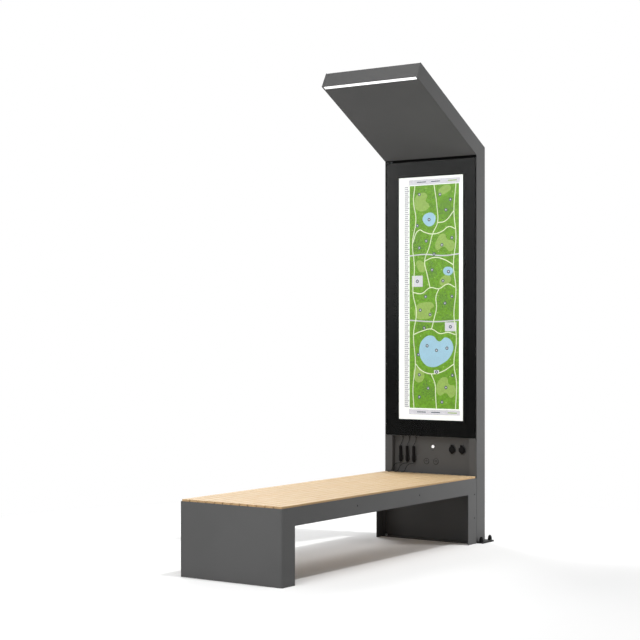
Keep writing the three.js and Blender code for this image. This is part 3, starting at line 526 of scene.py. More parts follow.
# Points nearer than these become one, in CAD meshes, spun pieces and ink
CAD_MERGE = 0.01 * MM
SPUN_MERGE = 0.002 * MM
INK_MERGE = 0.001 * MM


def deselect():
    """Leaves edit mode, with nothing selected."""
    if bpy.context.mode != "OBJECT":
        bpy.ops.object.mode_set(mode="OBJECT")
    bpy.ops.object.select_all(action="DESELECT")


def choose(piece):
    """Makes a piece the only selected and active one."""
    deselect()
    piece.select_set(True)
    bpy.context.view_layer.objects.active = piece


def edit(piece):
    """Opens a piece in edit mode with everything selected."""
    choose(piece)
    bpy.ops.object.mode_set(mode="EDIT")
    bpy.ops.mesh.select_all(action="SELECT")


def rounded(piece, width):
    """Rounds the sharp edges of a piece and smooths its shading."""
    choose(piece)
    if width:
        bpy.ops.object.modifier_add(type="BEVEL")
        bevel = piece.modifiers[-1]
        bevel.width = width
        bevel.segments = 2
        bevel.limit_method = "ANGLE"
        bevel.angle_limit = SHARP
        bevel.use_clamp_overlap = True
        bpy.ops.object.modifier_apply(modifier=bevel.name)
    bpy.ops.object.shade_smooth_by_angle(angle=SHARP)
    bpy.ops.object.modifier_add(type="WEIGHTED_NORMAL")
    weighted = piece.modifiers[-1]
    weighted.keep_sharp = True
    bpy.ops.object.modifier_apply(modifier=weighted.name)


def dressed(piece, body, slot, *names, replaces=()):
    """Gives a piece its finishes and its body; slot is not used."""
    piece.data.materials.clear()
    for name in names:
        piece.data.materials.append(finish(name))
    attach(piece, body)
    if replaces:
        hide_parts(*replaces)
    return piece


def smoothed(node, body, slot, *names, edge=0.0, plain=True, second=None):
    """A merged copy of a CAD node with rounded edges, in its place.

    A plain node has no holes in its flat faces, so their triangles are joined.
    The second finish goes on the faces that second picks by centre and normal.
    """
    piece = bpy.data.objects.new(node + "_finished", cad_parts[node].data.copy())
    bpy.context.collection.objects.link(piece)
    edit(piece)
    bpy.ops.mesh.remove_doubles(threshold=CAD_MERGE)
    if edge and plain:
        bpy.ops.mesh.dissolve_limited(angle_limit=FLAT)
    bpy.ops.object.mode_set(mode="OBJECT")
    rounded(piece, edge)
    dressed(piece, body, slot, *names, replaces=[node])
    if second:
        for face in piece.data.polygons:
            face.material_index = int(second(face.center, face.normal))
    return piece


def spun(name, profile, place, way, steps=32):
    """A round piece: an edge chain of radius and height points spun about its axis, then set in place."""
    deselect()
    bpy.ops.mesh.primitive_plane_add(size=MM)
    piece = bpy.context.object
    piece.name = name
    edit(piece)
    bpy.ops.mesh.merge(type="CENTER")
    radius, height = profile[0]
    bpy.ops.transform.translate(value=(radius, 0, height))
    for next_radius, next_height in profile[1:]:
        move = {"value": (next_radius - radius, 0, next_height - height)}
        bpy.ops.mesh.extrude_region_move(TRANSFORM_OT_translate=move)
        radius, height = next_radius, next_height
    bpy.ops.mesh.select_all(action="SELECT")
    bpy.ops.mesh.spin(steps=steps, angle=math.tau, center=(0, 0, 0), axis=(0, 0, 1))
    bpy.ops.mesh.select_all(action="SELECT")
    bpy.ops.mesh.remove_doubles(threshold=SPUN_MERGE)
    bpy.ops.mesh.normals_make_consistent(inside=False)
    bpy.ops.object.mode_set(mode="OBJECT")
    turn = Vector((0, 0, 1)).rotation_difference(Vector(way)).to_matrix().to_4x4()
    piece.data.transform(Matrix.Translation(place) @ turn)
    bpy.ops.object.shade_smooth_by_angle(angle=SHARP)
    return piece


def slab(name, low, high, edge, segments=2):
    """A block with rounded edges between two corners."""
    deselect()
    middle = (Vector(low) + Vector(high)) / 2
    bpy.ops.mesh.primitive_cube_add(size=1, location=middle, scale=Vector(high) - Vector(low))
    piece = bpy.context.object
    piece.name = name
    bpy.ops.object.transform_apply(location=True, rotation=True, scale=True)
    edit(piece)
    bpy.ops.mesh.bevel(offset=edge, segments=segments, affect="EDGES")
    bpy.ops.object.mode_set(mode="OBJECT")
    bpy.ops.object.shade_smooth_by_angle(angle=SHARP)
    return piece


def joined(name, pieces):
    """Joins pieces into one."""
    deselect()
    for piece in pieces:
        piece.select_set(True)
    bpy.context.view_layer.objects.active = pieces[0]
    bpy.ops.object.join()
    pieces[0].name = name
    pieces[0].data.name = name
    return pieces[0]


def repeated(piece, places):
    """A piece modelled at the origin and its copies, each with its own mesh, moved to their places."""
    copies = [piece]
    for _ in places[1:]:
        made = piece.copy()
        made.data = piece.data.copy()
        bpy.context.collection.objects.link(made)
        copies.append(made)
    for made, place in zip(copies, places):
        made.data.transform(Matrix.Translation(place))
    return copies


# Steelwork, deck and column

# Where second finishes start. Past the skirts are only their screws, and over the base plate its caps.
# The bolts of the inner feet stand over the feet, past the panels' sheet and inside their sides
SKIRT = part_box("side_right")[1].x + 0.6 * MM
PLATE_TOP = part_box("base_plate")[0].z + 10.2 * MM
FOOT_TOP = 4.2 * MM
BOLT_TOP = 20 * MM
BOLT_REACH = 345 * MM
FOOT_SHEET = 4 * MM


def add_steelwork():
    """The coated sheets of the bench and the column, with rounded edges."""
    edge = sizes().edge
    for node in ("side_right", "side_left", "rear_cover", "soffit", "fascia"):
        smoothed(node, "root", "paint", "coat", edge=edge)
    for node in ("skirt_right", "skirt_left"):
        smoothed(
            node, "root", "paint", "coat", "black", edge=edge, plain=False,
            second=lambda centre, normal: abs(centre.x) > SKIRT,
        )
    for node, side in (("end_panel", 1), ("front_panel", -1)):
        low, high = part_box(node)
        sheet = (low.y if side > 0 else high.y) + side * FOOT_SHEET

        def bolt(centre, normal, side=side, sheet=sheet):
            past = side * (centre.y - sheet) > 0
            return past and FOOT_TOP < centre.z < BOLT_TOP and abs(centre.x) < BOLT_REACH

        smoothed(node, "root", "paint", "coat", "steel", edge=edge, second=bolt)
    # The base plate is drawn at a fifth of the coat's brightness: partly a darker coat, partly painted shade
    # for the shade it lies in at the column's foot
    smoothed(
        "base_plate", "root", "paint", "dark coat and shade", "rubber", edge=edge,
        second=lambda centre, normal: centre.z > PLATE_TOP,
    )


def add_deck():
    """Larch slats on galvanised bearers. Their ends, sides and undersides are darker: sawn end grain on the
    ends, painted shade on the sides.
    """
    for number in range(1, SLATS + 1):
        smoothed(
            f"slat_{number:02d}", "root", "wood", "larch", "larch ends and shaded sides", edge=sizes().slat_edge,
            # The darker finish goes on every face not turned up: end grain on the ends, painted shade on the
            # sides and undersides
            second=lambda centre, normal: normal.z < 0.5,
        )
    for number in range(1, BEARERS + 1):
        smoothed(f"deck_bearer_{number}", "root", "zinc", "zinc", edge=sizes().edge)


def add_inside():
    """The pieces shut in the column: supports, backlight, battery and controller."""
    for node in ("stop_frame", "mounting_plate"):
        smoothed(node, "root", "zinc", "zinc")
    smoothed("backlight_panel", "root", "opal", "backlight")
    smoothed("charge_controller", "root", "grey", "grey")
    smoothed("battery", "root", "black", "black")


def add_cover_screws():
    """Round-headed screws down both edges of the rear cover."""
    radius = sizes().screw / 2
    height = 3 * MM
    # Radius and height, from the floor of the recess over the head to its underside
    profile = [
        (0, height * 0.55), (radius * 0.38, height * 0.55), (radius * 0.42, height),
        (radius * 0.6, height), (radius * 0.9, height * 0.55), (radius, 0), (0, -0.5 * MM),
    ]
    screw = spun("cover_screw", profile, (0, 0, 0), (0, 1, 0), steps=20)
    row_edge, rows = 347 * MM, 8
    first, last = 110 * MM, 2630 * MM
    rises = [first + (last - first) * row / (rows - 1) for row in range(rows)]
    places = [(side * row_edge, REAR, rise) for side in (-1, 1) for rise in rises]
    dressed(joined("cover_screws", repeated(screw, places)), "root", "paint", "steel")


# Door and its printed sheet

# The pane is drawn thinner by this, so that its back and the ink on it don't coincide
PANE_GAP = 0.2 * MM
# The black seal over the door starts beside the pivot's bracket. It is partly a real seal and partly painted
# shade: it darkens the gap between the door's top and the soffit.
SEAL_SHADE_LEFT, SEAL_SHADE_RIGHT = -318 * MM, 348 * MM
SEAL_SHADE_DEPTH, SEAL_SHADE_HEIGHT = 7 * MM, 12 * MM


def add_door():
    """The glazed door: pane, black border, mitred frame, backer and white sheet, and the black seal over it,
    which is partly painted shade for the gap there.
    """
    pane = smoothed(
        "door_glass", "door", "glass", "glass", "glass edge", edge=1 * MM,
        second=lambda centre, normal: abs(normal.y) < 0.5,
    )
    edit(pane)
    thinner = 1 - PANE_GAP / (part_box("door_glass")[1].y - FRONT)
    bpy.ops.transform.resize(value=(1, thinner, 1), center_override=(0, FRONT, 0))
    bpy.ops.object.mode_set(mode="OBJECT")
    smoothed("door_mask", "door", "border", "screen print")
    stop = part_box("stop_frame")
    low = (SEAL_SHADE_LEFT, stop[0].y - SEAL_SHADE_DEPTH, stop[1].z - SEAL_SHADE_HEIGHT)
    high = (SEAL_SHADE_RIGHT, stop[0].y, stop[1].z)
    # Painted shade in part: the black seal darkens the gap over the door
    dressed(slab("door_seal_and_gap_shade", low, high, 2 * MM), "root", "rubber", "rubber")
    smoothed("door_frame", "door", "aluminium", "aluminium")
    smoothed("poster_backer", "door", "opal", "backlight")
    smoothed("poster", "door", "paper", "paper")


# How strongly the light behind the sheet shines through it
BACKLIGHT = 0.56

# The window in the border, the lap of the sheet under it, and the ink on the sheet: its thickness and the
# step from one layer to the next
WINDOW_WIDTH = 507 * MM
SHEET_LAP = 12 * MM
WINDOW_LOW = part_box("poster")[0].z + SHEET_LAP
WINDOW_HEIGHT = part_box("poster")[1].z - SHEET_LAP - WINDOW_LOW
SHEET_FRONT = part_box("poster")[0].y
INK = 0.1 * MM
LAYER = 0.2 * MM

# Header and footer strips: their places up the window, middle across it, width and height, as shares of it
STRIP_PLACES = (0.031, 0.979)
STRIP_MIDDLE, STRIP_WIDTH, STRIP_HEIGHT = 0.057, 0.8, 0.022
# Plain bars on each strip: places across the window from the strip's middle, width and height
TITLE_PLACES = (-0.2, 0.02, 0.28)
TITLE_WIDTH, TITLE_HEIGHT = 70 * MM, 6 * MM
# Index rows beside the field: number, height, and middle from the window's left edge and width of a long
# and a short row
INDEX_ROWS = 114
INDEX_HEIGHT = 9.5 * MM
INDEX_LONG, INDEX_SHORT = (63 * MM, 38 * MM), (60 * MM, 32 * MM)
# Specks of woods, lawn and woods: how many, where their spread starts, and radius
SPECKS = ((120, 1, 7 * MM), (90, 200, 5 * MM), (120, 400, 4 * MM))
ROAD_WIDTH, PATH_WIDTH = 9 * MM, 7 * MM
MARKER_RADIUS, MARKER_CENTRE = 12 * MM, 5 * MM

# The map's field on the sheet, as shares of the window: left, right, bottom and top
FIELD_SHARE = (0.17, 0.94, 0.047, 0.965)

# Shapes of the map, as shares of the field's width and height
LAKE_SHARES = [
    [(0.28, 0.205), (0.45, 0.185), (0.66, 0.2), (0.83, 0.235), (0.88, 0.285), (0.74, 0.318), (0.6, 0.3),
     (0.47, 0.325), (0.3, 0.315), (0.2, 0.265)],
    [(0.3, 0.83), (0.42, 0.815), (0.52, 0.835), (0.5, 0.868), (0.37, 0.875), (0.27, 0.855)],
    [(0.7, 0.602), (0.83, 0.595), (0.88, 0.618), (0.78, 0.632), (0.69, 0.622)],
]
LAWN_SHARES = [
    [(0.12, 0.9), (0.3, 0.885), (0.4, 0.91), (0.33, 0.93), (0.36, 0.955), (0.2, 0.965), (0.11, 0.94)],
    [(0.55, 0.71), (0.7, 0.722), (0.84, 0.7), (0.9, 0.74), (0.76, 0.755), (0.7, 0.78), (0.56, 0.755)],
    [(0.12, 0.41), (0.3, 0.4), (0.46, 0.415), (0.42, 0.44), (0.5, 0.46), (0.3, 0.475), (0.13, 0.455)],
    [(0.6, 0.06), (0.74, 0.07), (0.85, 0.05), (0.92, 0.1), (0.8, 0.11), (0.75, 0.14), (0.57, 0.115)],
    [(0.1, 0.13), (0.2, 0.115), (0.3, 0.14), (0.24, 0.175), (0.12, 0.18)],
    [(0.16, 0.63), (0.24, 0.61), (0.34, 0.625), (0.28, 0.655), (0.15, 0.66)],
    [(0.62, 0.555), (0.8, 0.56), (0.84, 0.585), (0.68, 0.59)],
    [(0.6, 0.96), (0.78, 0.965), (0.84, 0.985), (0.66, 0.99)],
]
WOOD_SHARES = [
    [(0.62, 0.86), (0.72, 0.87), (0.82, 0.85), (0.9, 0.88), (0.84, 0.91), (0.86, 0.94), (0.7, 0.93),
     (0.6, 0.9)],
    [(0.1, 0.7), (0.2, 0.705), (0.28, 0.69), (0.3, 0.73), (0.22, 0.75), (0.2, 0.785), (0.09, 0.76)],
    [(0.62, 0.44), (0.74, 0.45), (0.86, 0.43), (0.9, 0.48), (0.78, 0.49), (0.72, 0.52), (0.58, 0.49)],
    [(0.3, 0.05), (0.38, 0.06), (0.46, 0.045), (0.5, 0.09), (0.4, 0.1), (0.36, 0.13), (0.25, 0.095)],
    [(0.4, 0.58), (0.5, 0.585), (0.56, 0.6), (0.52, 0.625), (0.45, 0.66), (0.36, 0.62)],
    [(0.66, 0.38), (0.8, 0.375), (0.88, 0.4), (0.74, 0.42)],
    [(0.15, 0.355), (0.3, 0.345), (0.42, 0.36), (0.3, 0.385), (0.16, 0.38)],
]
SQUARE_SHARES = [(0.05, 0.545, 0.27, 0.595), (0.72, 0.345, 0.95, 0.385), (0.5, 0.155, 0.6, 0.172)]
PATH_SHARES = [
    [(0.09, 0.0), (0.07, 0.09), (0.12, 0.2), (0.08, 0.33), (0.14, 0.43), (0.07, 0.52), (0.1, 0.63),
     (0.06, 0.74), (0.13, 0.85), (0.08, 0.93), (0.11, 1.0)],
    [(0.93, 0.0), (0.95, 0.12), (0.9, 0.2), (0.95, 0.31), (0.9, 0.42), (0.94, 0.53), (0.89, 0.64),
     (0.94, 0.76), (0.9, 0.88), (0.94, 1.0)],
    [(0.08, 0.33), (0.24, 0.345), (0.45, 0.355), (0.62, 0.335), (0.78, 0.34), (0.93, 0.33)],
    [(0.12, 0.2), (0.24, 0.17), (0.44, 0.155), (0.66, 0.165), (0.9, 0.2)],
    [(0.07, 0.52), (0.25, 0.515), (0.42, 0.54), (0.6, 0.535), (0.78, 0.555), (0.92, 0.54)],
    [(0.42, 0.54), (0.36, 0.6), (0.31, 0.66), (0.4, 0.72), (0.47, 0.78), (0.57, 0.83), (0.56, 0.9),
     (0.5, 1.0)],
    [(0.06, 0.74), (0.2, 0.8), (0.3, 0.79), (0.47, 0.78), (0.66, 0.79), (0.8, 0.81), (0.92, 0.8)],
    [(0.55, 0.0), (0.53, 0.06), (0.52, 0.11), (0.44, 0.155)],
    [(0.45, 0.355), (0.5, 0.4), (0.55, 0.45), (0.54, 0.5), (0.6, 0.535)],
    [(0.57, 0.83), (0.72, 0.835), (0.9, 0.88)],
    [(0.31, 0.66), (0.5, 0.675), (0.7, 0.665), (0.89, 0.64)],
]
ROAD_SHARES = [
    [(0.0, 0.685), (0.3, 0.69), (0.7, 0.682), (1.0, 0.688)],
    [(0.0, 0.395), (0.5, 0.388), (1.0, 0.394)],
]
MARKER_SHARES = [
    (0.2, 0.96), (0.62, 0.955), (0.83, 0.93), (0.4, 0.845), (0.74, 0.885), (0.16, 0.82), (0.86, 0.76),
    (0.34, 0.75), (0.66, 0.73), (0.2, 0.72), (0.5, 0.69), (0.79, 0.61), (0.46, 0.62), (0.16, 0.57),
    (0.33, 0.5), (0.68, 0.57), (0.86, 0.5), (0.72, 0.47), (0.22, 0.44), (0.42, 0.42), (0.83, 0.365),
    (0.3, 0.36), (0.55, 0.26), (0.36, 0.28), (0.76, 0.27), (0.18, 0.24), (0.55, 0.163), (0.2, 0.15),
    (0.38, 0.09), (0.74, 0.095), (0.87, 0.15), (0.2, 0.05), (0.66, 0.03),
]


def on_field(share):
    """Place on the sheet of a share of the field's width and height."""
    left, right, bottom, top = FIELD_SHARE
    across = left + share[0] * (right - left)
    up = bottom + share[1] * (top - bottom)
    return Vector(((across - 0.5) * WINDOW_WIDTH, up * WINDOW_HEIGHT, 0))


def on_sheet(piece, layer, ink):
    """Lays a flat piece, drawn in the XY plane, on a layer of the sheet."""
    depth = SHEET_FRONT - layer * LAYER
    upright = Matrix.Rotation(math.radians(90), 4, "X")
    piece.data.transform(Matrix.Translation((0, depth, WINDOW_LOW)) @ upright)
    piece.data.materials.clear()
    piece.data.materials.append(ink)
    return piece


def smooth_curve(name, places, closed=False):
    """A smooth curve through places."""
    curve = bpy.data.curves.new(name, "CURVE")
    curve.dimensions = "3D"
    spline = curve.splines.new("BEZIER")
    spline.bezier_points.add(len(places) - 1)
    for point, place in zip(spline.bezier_points, places):
        point.co = place
        point.handle_left_type = point.handle_right_type = "AUTO"
    spline.use_cyclic_u = closed
    piece = bpy.data.objects.new(name, curve)
    bpy.context.collection.objects.link(piece)
    return piece


def meshed(piece):
    """The mesh that a curve gives."""
    choose(piece)
    bpy.ops.object.convert(target="MESH")
    return bpy.context.object


def patch(places, layer, ink, smooth=True):
    """A flat patch of ink with a smooth or a straight outline."""
    piece = smooth_curve("ink", places, closed=True)
    if not smooth:
        for point in piece.data.splines[0].bezier_points:
            point.handle_left_type = point.handle_right_type = "VECTOR"
    piece.data.dimensions = "2D"
    piece.data.fill_mode = "BOTH"
    piece.data.resolution_u = 6 if smooth else 1
    piece.data.extrude = INK / 2
    return on_sheet(meshed(piece), layer, ink)


def ribbon(places, width, layer, ink):
    """A line of ink: a thin tube pressed flat."""
    piece = smooth_curve("ink", places)
    piece.data.resolution_u = 6
    piece.data.bevel_depth = width / 2
    piece.data.bevel_resolution = 0
    piece.data.use_fill_caps = True
    piece = meshed(piece)
    edit(piece)
    bpy.ops.transform.resize(value=(1, 1, INK / width), center_override=(0, 0, 0))
    bpy.ops.object.mode_set(mode="OBJECT")
    return on_sheet(piece, layer, ink)


def thickened(piece):
    """Gives a flat outline the thickness of a layer of ink."""
    edit(piece)
    bpy.ops.mesh.extrude_region_move(TRANSFORM_OT_translate={"value": (0, 0, INK)})
    bpy.ops.mesh.select_all(action="SELECT")
    bpy.ops.transform.translate(value=(0, 0, -INK / 2))
    bpy.ops.mesh.normals_make_consistent(inside=False)
    bpy.ops.object.mode_set(mode="OBJECT")
    return piece


def dots(places, radius, layer, ink):
    """Round dots of ink: one disc and its copies."""
    deselect()
    bpy.ops.mesh.primitive_circle_add(vertices=14, radius=radius, fill_type="NGON")
    dot = thickened(bpy.context.object)
    return [on_sheet(made, layer, ink) for made in repeated(dot, places)]


def bars(places, width, height, layer, ink):
    """Straight bars of ink: one bar and its copies."""
    deselect()
    bpy.ops.mesh.primitive_plane_add(size=1)
    bar = bpy.context.object
    edit(bar)
    bpy.ops.transform.resize(value=(width, height, 1), center_override=(0, 0, 0))
    return [on_sheet(made, layer, ink) for made in repeated(thickened(bar), places)]


def scattered(count, first):
    """Places spread evenly over the field, without a visible order."""
    # Multiples of these two numbers, less their whole parts, fill a square evenly
    steps = (0.7548777, 0.5698403)
    margins = (0.03, 0.01)
    shares = [
        [margin + (1 - 2 * margin) * (turn * step % 1) for margin, step in zip(margins, steps)]
        for turn in range(first, first + count)
    ]
    return [on_field(share) for share in shares]


def rectangle(low, high):
    """The corners of a rectangle between its lowest and its highest one."""
    return [low, Vector((high.x, low.y, 0)), high, Vector((low.x, high.y, 0))]


def add_map():
    """A made-up park map in flat layers of ink, counted from the sheet."""
    tones = colours()
    meadow = printed_film("meadow ink", tones.meadow, shade(tones.meadow, 0.7), 16 * MM)
    lawn = printed_film("lawn ink", tones.lawn, shade(tones.lawn, 0.85), 14 * MM)
    woods = printed_film("wood ink", tones.woods, tones.meadow, 9 * MM)
    water = printed_film("water ink", tones.water, shade(tones.water, 0.95), 60 * MM)
    path = printed_film("path ink", tones.path, shade(tones.path, 0.93), 20 * MM)
    band = printed_film("band ink", tones.band, shade(tones.band, 0.96), 20 * MM)
    index = printed_film("index ink", shade(tones.band, 0.75), shade(tones.band, 0.7), 20 * MM)
    dark = printed_film("marker ink", tones.marker, shade(tones.marker, 1.2), 5 * MM)
    low, high = on_field((0, 0)), on_field((1, 1))
    ink = [patch(rectangle(low, high), 1, meadow, smooth=False)]
    strips = [Vector((STRIP_MIDDLE * WINDOW_WIDTH, share * WINDOW_HEIGHT, 0)) for share in STRIP_PLACES]
    ink += bars(strips, STRIP_WIDTH * WINDOW_WIDTH, STRIP_HEIGHT * WINDOW_HEIGHT, 1, band)
    for across, tone in zip(TITLE_PLACES, (dark, dark, lawn)):
        places = [strip + Vector((across * WINDOW_WIDTH, 0, 0)) for strip in strips]
        ink += bars(places, TITLE_WIDTH, TITLE_HEIGHT, 2, tone)
    rises = [low.y + (high.y - low.y) * (row + 0.5) / INDEX_ROWS for row in range(INDEX_ROWS)]
    for (inset, width), rows in ((INDEX_LONG, rises[::3]), (INDEX_SHORT, rises[1::3] + rises[2::3])):
        places = [Vector((inset - WINDOW_WIDTH / 2, rise, 0)) for rise in rows]
        ink += bars(places, width, INDEX_HEIGHT, 1, index)
    for outlines, tone in ((LAWN_SHARES, lawn), (WOOD_SHARES, woods), (LAKE_SHARES, water)):
        ink += [patch([on_field(share) for share in outline], 2, tone) for outline in outlines]
    for left, bottom, right, top in SQUARE_SHARES:
        square = rectangle(on_field((left, bottom)), on_field((right, top)))
        ink.append(patch(square, 3, band, smooth=False))
    for (count, first, radius), tone in zip(SPECKS, (woods, lawn, woods)):
        ink += dots(scattered(count, first), radius, 1.5, tone)
    ink += [ribbon([on_field(share) for share in line], ROAD_WIDTH, 3, band) for line in ROAD_SHARES]
    ink += [ribbon([on_field(share) for share in line], PATH_WIDTH, 4, path) for line in PATH_SHARES]
    markers = [on_field(share) for share in MARKER_SHARES]
    ink += dots(markers, MARKER_RADIUS, 5, dark) + dots(markers, MARKER_CENTRE, 6, band)
    print_piece = joined("sheet_print", ink)
    edit(print_piece)
    bpy.ops.mesh.remove_doubles(threshold=INK_MERGE)
    bpy.ops.mesh.normals_make_consistent(inside=False)
    bpy.ops.object.mode_set(mode="OBJECT")
    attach(print_piece, "door")


# Canopy

def canopy_corners(node):
    """Lowest and highest corner of a CAD node in the canopy's own frame."""
    back = CANOPY.inverted()
    places = [back @ vertex.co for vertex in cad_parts[node].data.vertices]
    low = Vector([min(place[axis] for place in places) for axis in range(3)])
    high = Vector([max(place[axis] for place in places) for axis in range(3)])
    return low, high


def add_canopy():
    """The solar module with its cells and busbars, and the lit strip behind the fascia."""
    smoothed("solar_frame", "root", "aluminium", "aluminium")
    smoothed("solar_laminate", "root", "cells", "backing")
    smoothed("junction_box", "root", "black", "black", edge=1 * MM)
    smoothed("light_channel", "root", "aluminium", "aluminium")
    smoothed("light_diffuser", "root", "opal", "strip light")
    add_cells()


def add_cells():
    """Cells in rows and columns with cut corners, and the thin strips that join each column."""
    low, high = canopy_corners("solar_laminate")
    size = sizes()
    pitch = size.cell + size.cell_gap
    columns = int((high.x - low.x - size.cell_gap) / pitch)
    rows = int((high.y - low.y - size.cell_gap) / pitch)
    middle = (low + high) / 2
    thickness = 0.2 * MM
    deselect()
    bpy.ops.mesh.primitive_plane_add(size=size.cell)
    cell = bpy.context.object
    edit(cell)
    bpy.ops.mesh.bevel(offset=size.cell_corner, affect="VERTICES")
    bpy.ops.mesh.extrude_region_move(TRANSFORM_OT_translate={"value": (0, 0, thickness)})
    bpy.ops.mesh.select_all(action="SELECT")
    bpy.ops.mesh.normals_make_consistent(inside=False)
    bpy.ops.object.mode_set(mode="OBJECT")
    across = [middle.x + (column - (columns - 1) / 2) * pitch for column in range(columns)]
    along = [middle.y + (row - (rows - 1) / 2) * pitch for row in range(rows)]
    cells = repeated(cell, [(x, y, high.z) for x in across for y in along])
    width, reach = size.busbar / 2, rows * pitch / 2
    strip = slab("busbar", (-width, -reach, 0), (width, reach, thickness), thickness / 4, segments=1)
    lines = [x + share * size.cell for x in across for share in (-0.3, 0, 0.3)]
    strips = repeated(strip, [(x, middle.y, high.z + thickness) for x in lines])
    for name, pieces, tone in (("solar_cells", cells, "cell"), ("solar_busbars", strips, "silver")):
        piece = joined(name, pieces)
        piece.data.transform(CANOPY)
        dressed(piece, "root", "cells", tone)


# Niche

# The sheet of the tray's roof, and of its floor and sides, each with a little clearance
TRAY_ROOF = 2.1 * MM
TRAY_WALL = 4 * MM


def add_niche():
    """The charging niche: tray and rear panel, button, ports, sockets and their lids."""
    low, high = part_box("niche_tray")
    roof, floor = high.z - TRAY_ROOF, low.z + TRAY_WALL
    reach = -low.x - TRAY_WALL

    def gland(centre, normal):
        return floor < centre.z < roof and abs(centre.x) < reach

    def saddle(centre, normal):
        return centre.y < NICHE_WALL - 0.1 * MM

    smoothed("niche_tray", "root", "paint", "coat", "black", plain=False, second=gland)
    smoothed("niche_panel", "root", "paint", "coat", "black", second=saddle)
    smoothed("button_bezel", "root", "grey", "grey")
    smoothed("light_button", "button", "opal", "button light")
    for side in ("left", "right"):
        smoothed("port_" + side, "root", "grey", "coat")
        smoothed("socket_" + side, "root", "grey", "grey")
        smoothed("socket_lid_" + side, "lid_" + side, "rubber", "rubber", edge=0.6 * MM)
    add_port_tongues()
    add_port_gaskets_and_gap_shade()
    add_contacts()
    add_sensor()


def add_port_tongues():
    """The contact tongue inside each port."""
    half = Vector((5.5 * MM, 5 * MM, 1 * MM))
    tongue = slab("tongue", -half, half, 0.3 * MM)
    behind, rise = 10 * MM, 1.2 * MM
    places = []
    for side in ("left", "right"):
        low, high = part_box("port_" + side)
        middle = (low + high) / 2
        places.append((middle.x, low.y + behind, middle.z + rise))
    dressed(joined("port_tongues", repeated(tongue, places)), "root", "grey", "black")


def add_port_gaskets_and_gap_shade():
    """The dark rubber ring round each port: partly a real rubber ring, partly painted shade for the gap round
    the port.
    """
    low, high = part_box("port_left")
    gap, width = 0.3 * MM, 2.4 * MM
    inner = (high.x - low.x) / 2 + gap
    outer = inner + width
    chamfer, shoulder, top = 0.4 * MM, 0.9 * MM, 1.3 * MM
    profile = [(inner, 0), (inner, shoulder), (inner + chamfer, top), (outer - chamfer, top),
               (outer, shoulder), (outer, 0), (inner, 0)]
    # Painted shade in part: the dark ring draws the shadow gap round each port
    ring = spun("port_gasket_and_gap_shade", profile, (0, 0, 0), (0, -1, 0))
    middles = [sum(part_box("port_" + side), Vector()) / 2 for side in ("left", "right")]
    places = [(middle.x, NICHE_WALL, middle.z) for middle in middles]
    dressed(joined("port_gaskets_and_gap_shade", repeated(ring, places)), "root", "rubber", "rubber")


def add_contacts():
    """Two brass contact sleeves on the floor of each socket well."""
    bore, lip, outer = 2.3 * MM, 2.9 * MM, 3.4 * MM
    foot, shoulder, top = -0.4 * MM, 1.2 * MM, 1.6 * MM
    profile = [(bore, foot), (outer, foot), (outer, shoulder), (lip, top), (bore, top), (bore, foot)]
    sleeve = spun("sleeve", profile, (0, 0, 0), (0, -1, 0), steps=20)
    spread, well, rise = 9.5 * MM, 14 * MM, 29 * MM
    places = []
    for side in ("left", "right"):
        low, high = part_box("socket_" + side)
        middle = (low.x + high.x) / 2
        places += [(middle + reach, NICHE_WALL + well, low.z + rise) for reach in (-spread, spread)]
    dressed(joined("socket_contacts", repeated(sleeve, places)), "root", "grey", "brass")


def add_sensor():
    """A small dark dome under the button."""
    radius = sizes().sensor / 2
    profile = [(0, 2 * MM), (radius * 0.55, 1.7 * MM), (radius * 0.9, 0.9 * MM), (radius, 0), (0, 0)]
    rise = 155 * MM
    place = (0, NICHE_WALL, SEAT + rise)
    dressed(spun("light_sensor", profile, place, (0, -1, 0), steps=24), "root", "grey", "black")


# Charging leads

def add_leads():
    """Three short charging leads, each from its gland through its grip to a small connector."""
    for number, (across, grip) in enumerate(zip(LEAD_PLACES, add_grips()), 1):
        tip = smoothed(f"lead_tip_{number}", "root", "black", "black")
        places = [(across + side, FRONT + behind, SEAT + over) for side, behind, over in LEAD_ROUTE]
        lead = smooth_curve(f"lead_{number}", places)
        lead.data.bevel_depth = LEAD_DIAMETER / 2
        lead.data.bevel_resolution = 3
        lead.data.resolution_u = 6
        lead.data.use_fill_caps = True
        lead.data.materials.append(finish("rubber"))
        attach(lead, "root")
        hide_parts(f"lead_cord_{number}")


def add_grips():
    """The soft grip round each lead: a barrel with shallow grooves and drawn-in ends, and its copies."""
    way = GRIP_TOP - GRIP_LOW
    length = way.length
    bore, neck, barrel, groove = 3.2 * MM, 8.6 * MM, 10.5 * MM, 9.8 * MM
    profile = [(bore, 0), (neck, 0), (barrel, length * 0.04)]
    # The grooves' number, the shares of the length that they lie between, and half their width: top and floor
    grooves, start, end = 5, 0.42, 0.74
    top, floor = 1.6 * MM, 0.6 * MM
    for number in range(grooves):
        centre = (start + (end - start) * number / (grooves - 1)) * length
        profile += [(barrel, centre - top), (groove, centre - floor), (groove, centre + floor),
                    (barrel, centre + top)]
    profile += [(barrel, length * 0.94), (neck, length), (bore, length), (bore, 0)]
    first = spun("grip", profile, GRIP_LOW, way, steps=28)
    grips = repeated(first, [(across, 0, 0) for across in LEAD_PLACES])
    for number, grip in enumerate(grips, 1):
        grip.name = f"lead_grip_{number}_finished"
        dressed(grip, "root", "rubber", "rubber", replaces=[f"lead_grip_{number}"])
    return grips


# Studio

def aim(place, target):
    """Rotation that points a camera or lamp from a place at a target."""
    return (Vector(target) - Vector(place)).to_track_quat("-Z", "Y").to_euler()


